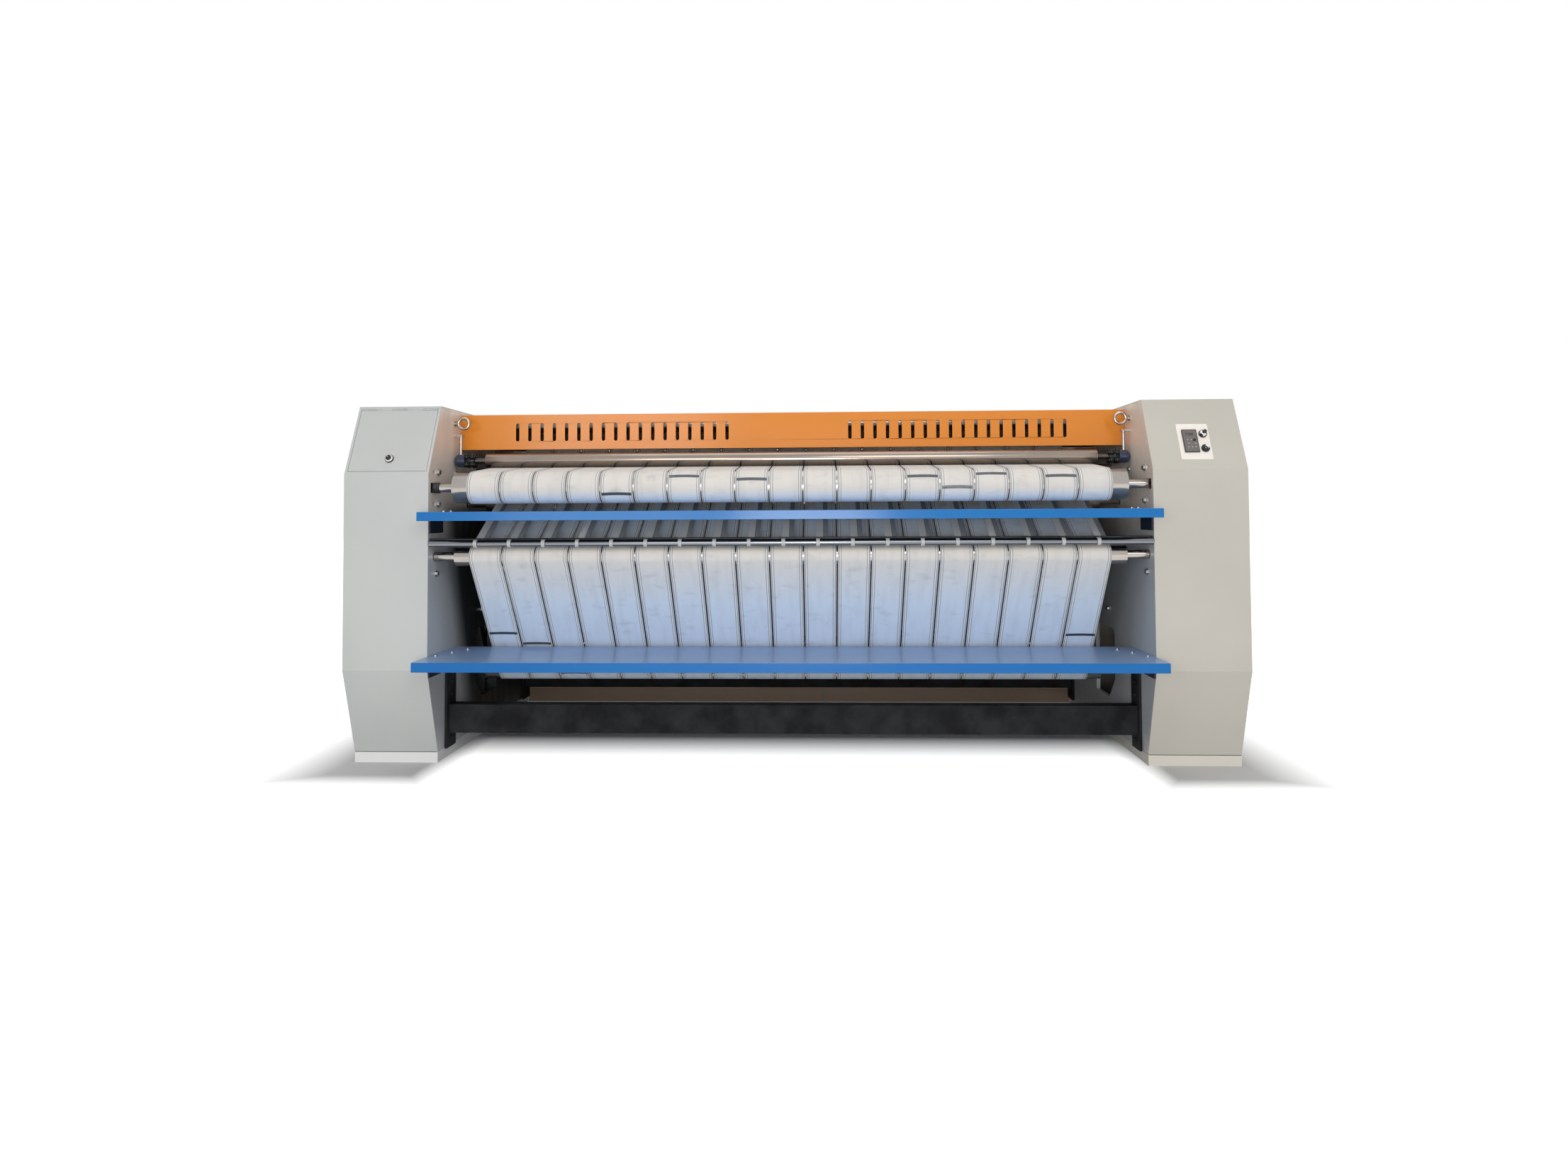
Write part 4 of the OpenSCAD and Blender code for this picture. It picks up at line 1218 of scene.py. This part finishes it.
@dataclass
class Casings(Assembly):
    """Both cabinets with their flap, skirtings, covers and guard."""

    joint: float = 2.6 * MM
    joint_in: float = 2 * MM
    joint_proud: float = 0.6 * MM
    joint_deep: float = 3 * MM
    lock_r: float = 14.5 * MM
    lock_h: float = 5 * MM
    plug_r: float = 10.8 * MM
    plug_h: float = 2.4 * MM
    plug_off: float = 3.1 * MM
    slot_w: float = 2.6 * MM
    slot_from: float = 1.0 * MM
    slot_short: float = 1.2 * MM
    screw_r: float = 4.5 * MM
    screw_h: float = 2.4 * MM
    screw_in: float = 12 * MM
    screw_spans: int = 8
    apron_clear: float = 8 * MM
    apron_lap: float = 15 * MM
    apron_in: float = 1 * MM
    apron_t: float = 2.5 * MM

    def build(self) -> None:
        """Dress the sheet metal and add what closes its joints."""
        self.dress(Finishes.CABINET_LEFT, "left_cabinet", edge=0.5 * MM)
        self.dress(Finishes.CABINET_LEFT, "left_flap", edge=0.25 * MM)
        self.dress(Finishes.CABINET_RIGHT, "right_cabinet", edge=1.6 * MM)
        self.dress(Finishes.SKIRTING, "skirtings", edge=1.0 * MM)
        self.dress(Finishes.LOCK, "flap_lock")
        self.dress(Finishes.ZINC, "flap_hinge")
        self.dress(Finishes.ORANGE, "guard", edge=1.0 * MM)
        self.dress(Finishes.CABINET_RIGHT, "top_cover", edge=0.8 * MM)
        self.dress(Finishes.COVER, "rear_cover", edge=0.8 * MM)
        self.joints()
        self.lock_rim()
        self.lock_plug()
        self.lock_slot()
        self.cover_screws()
        self.apron()

    def joints(self) -> None:
        """Lay a dark strip in the joint between each cabinet and its skirting."""
        low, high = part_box("skirtings")
        front, deep = low.y - self.joint_proud, low.y + self.joint_deep
        mesh = bmesh.new()
        for cabinet in ("left_cabinet", "right_cabinet"):
            near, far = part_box(cabinet)
            start = (near.x + self.joint_in, front, high.z - self.joint / 2)
            end = (far.x - self.joint_in, deep, high.z + self.joint / 2)
            self.block(mesh, start, end, SMALL_EDGE)
        self.add("joint_strips", mesh, Finishes.GASKET, "frame", "rubber")

    def lock_rim(self) -> None:
        """Turn the black rim round the flap's lock."""
        mesh = bmesh.new()
        inner, outer = self.lock_r + 0.3 * MM, self.lock_r + 2.8 * MM
        rim = [(0.0, outer), (1.2 * MM, outer), (3.6 * MM, self.lock_r + 1.4 * MM)]
        rim += [(3.8 * MM, inner), (0.0, inner), (0.0, outer)]
        self.turn_shape(mesh, rim, *joint_of("lock_turn"), 40)
        self.add("lock_rim", mesh, Finishes.LOCK_PLUG, "flap", "steel")

    def lock_plug(self) -> None:
        """Set the black key plug off centre on the lock's chromed face."""
        mesh = bmesh.new()
        r, h, top = self.plug_r, self.lock_h, self.lock_h + self.plug_h
        plug = [(h, 0.0), (h, r), (top - 0.8 * MM, r), (top, r - 0.9 * MM), (top, 0.0)]
        self.turn_shape(mesh, plug, Vector((-self.plug_off, self.plug_off, 0.0)), Z_AXIS, 32)
        place = joint_of("lock_turn")[0]
        self.add("lock_plug", mesh, Finishes.LOCK_PLUG, "lock", "steel", place)

    def lock_slot(self) -> None:
        """Set the light key slot in the plug, along its slanting radius."""
        mesh = bmesh.new()
        half, top = self.slot_w / 2, self.lock_h + self.plug_h
        low = (-half, self.slot_from, top - 0.2 * MM)
        self.block(mesh, low, (half, self.plug_r - self.slot_short, top + 0.5 * MM), 0.2 * MM)
        turned = Matrix.Translation((-self.plug_off, self.plug_off, 0.0))
        turned = turned @ Matrix.Rotation(math.radians(45), 4, "Z")
        bmesh.ops.transform(mesh, matrix=turned, verts=mesh.verts)
        place = joint_of("lock_turn")[0]
        self.add("lock_slot", mesh, Finishes.ZINC, "lock", "steel", place)

    def cover_screws(self) -> None:
        """Screw the rear and top covers down along their edges."""
        mesh = bmesh.new()
        inset = Vector((1.0, 1.0, 1.0)) * self.screw_in
        for node, axis in (("rear_cover", Y_AXIS), ("top_cover", Z_AXIS)):
            low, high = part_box(node)
            near, far = low + inset, high - inset
            for i in range(self.screw_spans + 1):
                for side in (0.0, 0.5, 1.0) if i in (0, self.screw_spans) else (0.0, 1.0):
                    place = near.lerp(far, side)
                    place.x = near.x + (far.x - near.x) * i / self.screw_spans
                    place += axis * (high.dot(axis) - place.dot(axis))
                    self.screw(mesh, place, axis, self.screw_r, self.screw_h)
        self.add("cover_screws", mesh, Finishes.ZINC, "frame", "zinc")

    def apron(self) -> None:
        """Hang a brown rubber apron inside the rear cover's lower edge: a sheet of painted shade.
        """
        low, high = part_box("rear_cover")
        mesh = bmesh.new()
        start = (low.x + self.apron_in, low.y - self.apron_t, self.apron_clear)
        self.block(mesh, start, (high.x - self.apron_in, low.y, low.z + self.apron_lap), 0.4 * MM)
        self.add("shade_apron", mesh, Finishes.APRON, "frame", "rubber")


@dataclass
class Stand(Assembly):
    """Side plates, beams, shelves, feet and the bolts that hold them."""

    def build(self) -> None:
        """Dress the frame."""
        self.dress(Finishes.PLATE, "left_side_frame", "right_side_frame", edge=0.8 * MM)
        self.dress(Finishes.BLACK, "front_beam", "rear_beam", "beam_plates", edge=1.0 * MM)
        self.dress(Finishes.RUBBER, "feet")
        self.dress(Finishes.ZINC, "frame_bolts", "shelf_screws")
        self.dress(Finishes.NAVY_SHEET, "shelf_brackets", edge=0.6 * MM)
        self.dress(Finishes.BLUE, "lower_shelf", edge=1.2 * MM)
        self.dress(Finishes.GLOSSY_BLUE, "upper_shelf", edge=1.2 * MM)
        self.dress(Finishes.BAR, "guard_bar")
        self.dress(Finishes.RING, "eye_bolts")


@dataclass
class Rollers(Assembly):
    """Every roller with its bearings, the drum and the pressure roller's fittings."""

    shaft_r: float = 14 * MM
    collar_r: float = 21 * MM
    collar_l: float = 24 * MM
    collar_gap: float = 0.4 * MM
    groove: float = 1.6 * MM
    ribs: int = 5
    bush_r: float = 17.5 * MM
    bush_gap: float = 1 * MM
    bush_short: float = 0.6 * MM
    chamfer: float = 1.2 * MM
    body_in: float = 89.9 * MM
    cap_l: float = 46 * MM
    flange_t: float = 38 * MM
    lobe_t: float = 14 * MM
    lobe_at: float = 22 * MM
    lobe_screw_r: float = 6.5 * MM
    lobe_screw_h: float = 5 * MM
    sleeve_r: float = 11.2 * MM
    sleeve_t: float = 0.6 * MM
    sleeve_l: float = 48 * MM
    sleeve_gap: float = 1 * MM

    def build(self) -> None:
        """Dress the turned pieces and add the fittings at their ends."""
        front = "feed_roller", "lower_roller", "nose_roller", "bottom_roller"
        rear = "rear_feed_roller", "nip_roller", "rear_low_roller", "rear_top_roller"
        self.dress(Finishes.CHROME, "drum")
        self.dress(Finishes.CAST, "drum_bearings", "roller_bearings")
        self.dress(Finishes.STAINLESS, *front, edge=0.8 * MM)
        self.dress(Finishes.STAINLESS, *rear)
        self.dress(Finishes.POLISHED, "pressure_roller", edge=1.5 * MM)
        self.dress(Finishes.CAST, "pressure_flanges", edge=1.5 * MM)
        self.dress(Finishes.NAVY, "pressure_caps")
        self.dress(Finishes.ZINC, "pressure_rods")
        self.collar()
        self.bushes()
        self.flange_screws()
        self.sleeves()

    def ends(self) -> tuple[tuple[float, int], tuple[float, int]]:
        """Return each side plate's inner face along X, with the way inwards from it."""
        return (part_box("left_side_frame")[1].x, 1), (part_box("right_side_frame")[0].x, -1)

    def collar(self) -> None:
        """Turn the ribbed black collar on the feed roller's left shaft."""
        inner, rib = self.shaft_r + 0.2 * MM, self.collar_l / self.ribs
        top, foot = self.collar_r, self.collar_r - self.groove
        profile = [(0.0, inner)]
        for i in range(self.ribs):
            shape = (0.0, foot), (0.2, top), (0.7, top), (0.9, foot)
            profile += [((i + share) * rib, radius) for share, radius in shape]
        profile += [(self.collar_l, inner), (0.0, inner)]
        centre = Wheel.of("feed_roller").centre(self.ends()[0][0] + self.collar_gap)
        mesh = bmesh.new()
        self.turn_shape(mesh, profile, centre, steps=40)
        self.add("feed_collar", mesh, Finishes.RUBBER, "feed_roller", "rubber")

    def bushes(self) -> None:
        """Turn the steel bushes on the front rollers' shafts, between the plates and the bodies."""
        inner = self.shaft_r + 0.1 * MM
        for node in ("feed_roller", "lower_roller"):
            mesh = bmesh.new()
            for face, way in self.ends():
                collared = node == "feed_roller" and way > 0
                start = self.bush_gap + (self.collar_l if collared else 0.0)
                length = self.body_in - self.bush_short - start
                profile = [(0.0, inner), (0.0, self.bush_r - self.chamfer)]
                profile += [(self.chamfer, self.bush_r), (length, self.bush_r)]
                profile += [(length, inner), (0.0, inner)]
                centre = Wheel.of(node).centre(face + way * start)
                self.turn_shape(mesh, profile, centre, way * X_AXIS, 40)
            self.add(f"{node}_bushes", mesh, Finishes.STAINLESS, node, "steel")

    def flange_screws(self) -> None:
        """Add the dark screws on the lobes of the pressure roller's flanges."""
        mesh = bmesh.new()
        for end, way in self.ends():
            for face in (self.cap_l + self.lobe_t, self.cap_l + self.flange_t):
                hub = Wheel.of("pressure_roller").centre(end + way * face)
                for degrees in (45, 135, 225, 315):
                    turn = Matrix.Rotation(math.radians(degrees), 3, "X")
                    place = hub + turn @ Y_AXIS * self.lobe_at
                    self.screw(mesh, place, way * X_AXIS, self.lobe_screw_r, self.lobe_screw_h)
        self.add("flange_screws", mesh, Finishes.OXIDE, "frame", "steel")

    def sleeves(self) -> None:
        """Turn the browned sleeves between the flanges and the pressure roller's body."""
        mesh = bmesh.new()
        start = self.cap_l + self.flange_t + self.sleeve_gap
        length, outer, inner = self.sleeve_l, self.sleeve_r, self.sleeve_r - self.sleeve_t
        ring = [(0.0, inner), (0.0, outer), (length, outer), (length, inner), (0.0, inner)]
        for (end, _), offset in zip(self.ends(), (start, -start - length)):
            self.turn_shape(mesh, ring, Wheel.of("pressure_roller").centre(end + offset))
        self.add("pressure_sleeves", mesh, Finishes.SLEEVE, "pressure_roller", "steel")


@dataclass
class Strippers(Assembly):
    """The rod with its fingers, which strip the linen from the belts."""

    clip_r: float = 4.6 * MM
    clip_off: float = 13 * MM
    ring_w: float = 14 * MM
    finger_w: float = 26.5 * MM
    shadow_w: float = 18 * MM
    shadow_t: float = 1.6 * MM
    shadow_gap: float = 0.5 * MM
    shadow_from: float = 13 * MM
    shadow_short: float = 40 * MM

    def build(self) -> None:
        """Dress the rod and its fingers, and add the clips and the strips of painted shadow beside
        them.
        """
        self.dress(Finishes.ROD, "finger_rod", edge=5 * MM)
        self.dress(Finishes.DARK_ROD, "tie_rod")
        self.dress(Finishes.STRIP, "fingers", edge=0.5 * MM)
        self.dress(Finishes.NYLON, "finger_rings", edge=1.0 * MM)
        self.clips()
        self.finger_shadows()

    def lefts(self, node: str, width: float) -> list[float]:
        """List the left edges of the pieces in a CAD node that holds one for each belt.

        Args:
            node: the node.
            width: the width of each piece.

        Returns:
            Their places along X.
        """
        low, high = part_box(node)
        pitch = (high.x - low.x - width) / (BELT_COUNT - 1)
        return [low.x + i * pitch for i in range(BELT_COUNT)]

    def clips(self) -> None:
        """Put a round clip on the tie rod at each side of every ring."""
        rod = Wheel.of("tie_rod")
        mesh = bmesh.new()
        for left in self.lefts("finger_rings", self.ring_w):
            for way in (-1, 1):
                centre = rod.centre(left + self.ring_w / 2 + way * self.clip_off)
                place = Matrix.Translation(centre)
                bmesh.ops.create_icosphere(mesh, subdivisions=2, radius=self.clip_r, matrix=place)
        self.add("finger_clips", mesh, Finishes.OXIDE, "frame", "zinc")

    def finger_shadows(self) -> None:
        """Lay a dark strip of painted shadow beside every finger, on the tie rod and along the
        finger's slope.
        """
        rod, way = Wheel.of("finger_rod"), Wheel.of("nose_roller").centre()
        way -= Wheel.of("lower_roller").centre()
        slope = Matrix.Rotation(math.atan2(way.z, way.y), 4, "X")
        end = Vector((self.shadow_w, way.length - self.shadow_short, self.shadow_t))
        mesh = bmesh.new()
        for left in self.lefts("fingers", self.finger_w):
            strip = self.block(mesh, (0.0, self.shadow_from, 0.0), end, SMALL_EDGE)
            place = Matrix.Translation(rod.centre(left + self.finger_w + self.shadow_gap))
            bmesh.ops.transform(mesh, matrix=place @ slope, verts=strip)
        self.add("finger_shadow_strips", mesh, Finishes.FINGER_SHADOW, "frame", "zinc")


@dataclass
class ControlPanel(Assembly):
    """The ivory plate with its keypad and knobs.

    Its own pieces are drawn in a facet's axes, with their origin in the middle of what bears them.
    """

    keys: int = 7
    bezel_w: float = 50.4 * MM
    bezel_l: float = 91.4 * MM
    bezel_border: float = 2.2 * MM
    bezel_from: float = -3.0 * MM
    bezel_to: float = 3.6 * MM
    digits_w: float = 26 * MM
    digits_l: float = 6.4 * MM
    digits_from: float = 0.6 * MM
    digits_to: float = 1.3 * MM
    mark_at: float = 1.4 * MM
    base_top: float = 7.3 * MM
    grip_top: float = 18.3 * MM
    grip_turn: float = math.radians(45)
    crescent_r: Levels = (6.5 * MM, 12.8 * MM)
    crescent_turn: float = math.radians(170)
    cap_at: float = 8.5 * MM
    dot_at: float = -7 * MM

    def build(self) -> None:
        """Dress the panel and add the keypad's bezel, the key marks and the knobs' light caps."""
        self.dress(Finishes.IVORY, "control_plate", edge=0.5 * MM)
        self.dress(Finishes.KEYPAD, "keypad", edge=0.4 * MM)
        self.dress(Finishes.DISPLAY, "display")
        self.dress(Finishes.KEY, *[f"key_{i}" for i in range(1, self.keys + 1)])
        self.dress(Finishes.DIAL, "keypad_dial")
        self.dress(Finishes.KNOB, "knob_upper", "knob_lower", edge=0.8 * MM)
        self.bezel()
        self.digits()
        self.key_marks()
        self.crescent()
        self.pointer()

    def bezel(self) -> None:
        """Frame the keypad with a thin black border."""
        w, h = self.bezel_w / 2, self.bezel_l / 2
        out_w, out_h = w + self.bezel_border, h + self.bezel_border
        mesh = bmesh.new()
        for x0, y0, x1, y1 in (
            (-out_w, -out_h, out_w, -h), (-out_w, h, out_w, out_h),
            (-out_w, -h, -w, h), (w, -h, out_w, h),
        ):
            self.block(mesh, (x0, y0, self.bezel_from), (x1, y1, self.bezel_to), SMALL_EDGE)
        self.add("keypad_bezel", mesh, Finishes.BEZEL, "frame", "keypad", middle("keypad"))

    def digits(self) -> None:
        """Lay the dark strip of the digits in the display."""
        mesh = bmesh.new()
        corner = Vector((self.digits_w / 2, self.digits_l / 2, self.digits_to))
        self.block(mesh, (-corner.x, -corner.y, self.digits_from), corner, SMALL_EDGE)
        self.add("display_strip", mesh, Finishes.DIGITS, "frame", "display", middle("display"))

    def key_marks(self) -> None:
        """Put a small light mark on every key, which moves with it."""
        dome = [(0.0, 0.0), (0.0, 2.0 * MM), (0.5 * MM, 1.7 * MM), (0.6 * MM, 0.0)]
        for i in range(1, self.keys + 1):
            mesh, key = bmesh.new(), f"key_{i}"
            self.turn_shape(mesh, dome, self.mark_at * Z_AXIS, Z_AXIS, 16)
            self.add(f"key_mark_{i}", mesh, Finishes.KEY_DOT, key, "key", middle(key))

    def crescent(self) -> None:
        """Cap the lower left end of the upper knob's grip with a light crescent."""
        mesh = bmesh.new()
        inner, outer = self.crescent_r
        low, high = self.base_top - 1 * MM, self.grip_top + 0.4 * MM
        corners = [(inner, low), (outer, low), (outer, high - 1 * MM)]
        corners += [(outer - 1 * MM, high), (inner, high)]
        start = Matrix.Rotation(self.grip_turn + math.radians(95), 3, "Z")
        verts = [mesh.verts.new(start @ Vector((r, 0.0, rise))) for r, rise in corners]
        bmesh.ops.spin(
            mesh, geom=[mesh.faces.new(verts)], cent=ORIGIN, axis=Z_AXIS,
            angle=self.crescent_turn, steps=24, use_merge=False,
        )
        place = joint_of("knob_upper_turn")[0]
        self.add("knob_crescent", mesh, Finishes.CAP, "knob_upper", "knob", place)

    def pointer(self) -> None:
        """Put the round white cap and the small light dot on the lower knob's grip."""
        mesh = bmesh.new()
        way = Matrix.Rotation(self.grip_turn, 3, "Z") @ X_AXIS
        cap = [(0.0, 0.0), (0.0, 8.4 * MM), (10.6 * MM, 8.4 * MM), (11.6 * MM, 7.2 * MM)]
        cap += [(11.8 * MM, 0.0)]
        self.turn_shape(mesh, cap, way * self.cap_at + Z_AXIS * self.base_top, Z_AXIS, 32)
        dot = [(0.0, 0.0), (0.0, 1.6 * MM), (0.5 * MM, 1.2 * MM), (0.6 * MM, 0.0)]
        sunk = self.grip_top - 0.1 * MM
        self.turn_shape(mesh, dot, way * self.dot_at + Z_AXIS * sunk, Z_AXIS, 16)
        place = joint_of("knob_lower_turn")[0]
        self.add("knob_pointer", mesh, Finishes.CAP, "knob_lower", "knob", place)


class Drive(Assembly):
    """Gear motor, chain and sprockets inside the left cabinet."""

    def build(self) -> None:
        """Dress the drive."""
        self.dress(Finishes.MOTOR, "gear_motor")
        self.dress(Finishes.OXIDE, "drive_chain", "drum_sprocket", "drive_sprocket")


@dataclass(frozen=True)
class Lamp:
    """A soft square lamp: its place in metres, the length of its side, and its power in watts."""

    name: str
    place: tuple[float, float, float]
    side: float
    power: float


class Lamps(Enum):
    """Every lamp of the studio."""

    KEY = Lamp("key lamp", (2.0, -6.0, 3.9), 2.8, 72.0)
    FILL = Lamp("fill lamp", (-1.9, -6.0, 1.5), 1.9, 42.0)
    LOW = Lamp("low lamp", (0.0, -5.5, 0.6), 1.2, 64.0)
    TOP = Lamp("top lamp", (0.0, 0.5, 5.5), 5.0, 65.0)


@dataclass
class Studio:
    """Pale floor, soft lamps and the camera of the photograph."""

    eye: tuple[float, float, float] = (0.12493, -4.28519, 0.98665)
    turn: float = 0.0381
    tilt: float = 0.0343
    lean: float = 0.0052
    focal_px: float = 1370.99
    rise_px: float = 156.77
    photo_w: int = 2212
    sensor: float = 36.0
    seen_from: float = 0.05
    seen_to: float = 200.0
    lit_at: tuple[float, float, float] = (0.0, 0.0, 0.8)
    all_round: float = 0.5
    floor_size: float = 60.0
    floor_grey: float = 0.62
    floor_roughness: float = 0.9
    clear_ahead: Levels = (-0.02, -0.4)  # the shadow fades out from under the front beam
    clear_inside: Levels = (1.42, 1.3)  # but only between the cabinets
    clear_beside: Levels = (1.74, 2.1)
    clear_behind: Levels = (1.05, 1.6)
    clear_before: Levels = (-0.66, -0.86)

    def build(self) -> None:
        """Make everything round the machine."""
        self.world()
        self.floor()
        for lamp in Lamps:
            self.hang(lamp.value)
        self.camera()
        bpy.context.scene.view_settings.view_transform = "Standard"

    def show(self, name: str, data: bpy.types.ID) -> Piece:
        """Make an object of some data and put it in the scene.

        Args:
            name: the object's name.
            data: its mesh, light or camera.

        Returns:
            The object.
        """
        shown = bpy.data.objects.new(name, data)
        bpy.context.scene.collection.objects.link(shown)
        return shown

    def camera(self) -> None:
        """Place the camera as it stood for the photograph, found by fitting known corners."""
        data = bpy.data.cameras.new("camera")
        data.sensor_width = self.sensor
        data.lens = self.focal_px / self.photo_w * self.sensor
        data.shift_y = -self.rise_px / self.photo_w
        data.clip_start = self.seen_from
        data.clip_end = self.seen_to
        data.dof.use_dof = False
        camera = self.show("camera", data)
        turned = Matrix.Rotation(self.turn, 4, "Z")
        tilted = Matrix.Rotation(math.pi / 2 + self.tilt, 4, "X")
        leaned = Matrix.Rotation(-self.lean, 4, "Z")
        camera.matrix_world = Matrix.Translation(self.eye) @ turned @ tilted @ leaned
        bpy.context.scene.camera = camera

    def seen(self, tree: Tree) -> Node:
        """Tell the camera's rays from other light.

        Args:
            tree: the node tree that asks.

        Returns:
            The node that gives one from the camera, from gloss or through glass, and else zero.
        """
        rays = add_node(tree, "LightPath").outputs
        first = {0: rays["Is Camera Ray"], 1: rays["Is Glossy Ray"]}
        both = {0: add_node(tree, "Math", first, operation="MAXIMUM")}
        both |= {1: rays["Is Transmission Ray"]}
        return add_node(tree, "Math", both, operation="MAXIMUM")

    def world(self) -> None:
        """Light softly from all round, and show white behind the machine."""
        world = bpy.data.worlds.new("studio")
        world.use_nodes = True
        bpy.context.scene.world = world
        tree = world.node_tree
        shown = {"Value": self.seen(tree), "To Min": self.all_round, "To Max": 1.0}
        shown = {"Color": WHITE, "Strength": add_node(tree, "MapRange", shown)}
        connect(tree, tree.nodes["Background"], shown)

    def floor(self) -> None:
        """Lay a plain floor, shown white except where the machine's shadow lies."""
        mesh = bmesh.new()
        bmesh.ops.create_grid(mesh, x_segments=1, y_segments=1, size=self.floor_size / 2)
        data = bpy.data.meshes.new("floor")
        mesh.to_mesh(data)
        mesh.free()
        self.show("floor", data)
        made = bpy.data.materials.new("white floor")
        made.use_nodes = True
        tree = made.node_tree
        glow = {0: self.seen(tree), 1: self.clear(tree)}
        grey = (self.floor_grey, self.floor_grey, self.floor_grey, 1.0)
        look = {"Base Color": grey, "Roughness": self.floor_roughness}
        look |= {"Emission Color": WHITE}
        look |= {"Emission Strength": add_node(tree, "Math", glow, operation="MULTIPLY")}
        connect(tree, tree.nodes["Principled BSDF"], look)
        data.materials.append(made)

    def clear(self, tree: Tree) -> Node:
        """Find where the floor is clear of the machine's shadow.

        Args:
            tree: the floor's node tree.

        Returns:
            The node that gives one where it is clear, and zero in the shadow.
        """
        where = add_node(tree, "TexCoord").outputs["Object"]
        place = add_node(tree, "SeparateXYZ", {"Vector": where}).outputs
        x, y = add_node(tree, "Math", {0: place["X"]}, operation="ABSOLUTE"), place["Y"]
        ahead, inside, *others = [
            add_node(tree, "MapRange", {"Value": along, "From Min": dark, "From Max": white})
            for along, (dark, white) in (
                (y, self.clear_ahead), (x, self.clear_inside), (x, self.clear_beside),
                (y, self.clear_behind), (y, self.clear_before),
            )
        ]
        clear = add_node(tree, "Math", {0: ahead, 1: inside}, operation="MULTIPLY")
        for step in others:
            clear = add_node(tree, "Math", {0: step, 1: clear}, operation="MAXIMUM")
        return clear

    def hang(self, lamp: Lamp) -> None:
        """Hang a lamp so that it faces the machine.

        Args:
            lamp: the lamp.
        """
        data = bpy.data.lights.new(lamp.name, "AREA")
        data.size = lamp.side
        data.energy = lamp.power
        away = Vector(lamp.place) - Vector(self.lit_at)
        turned = away.to_track_quat("Z", "Y").to_matrix().to_4x4()
        self.show(lamp.name, data).matrix_world = Matrix.Translation(lamp.place) @ turned


def main() -> None:
    """Build every sub-assembly in order, then the studio."""
    logging.basicConfig(level=logging.INFO, format="%(name)s: %(message)s")
    for assembly in (
        Casings(), Stand(), Rollers(), Belts(), Strippers(), ControlPanel(), Drive()
    ):
        LOG.info("building %s", type(assembly).__name__)
        assembly.build()
    Studio().build()


if __name__ == "__main__":
    main()
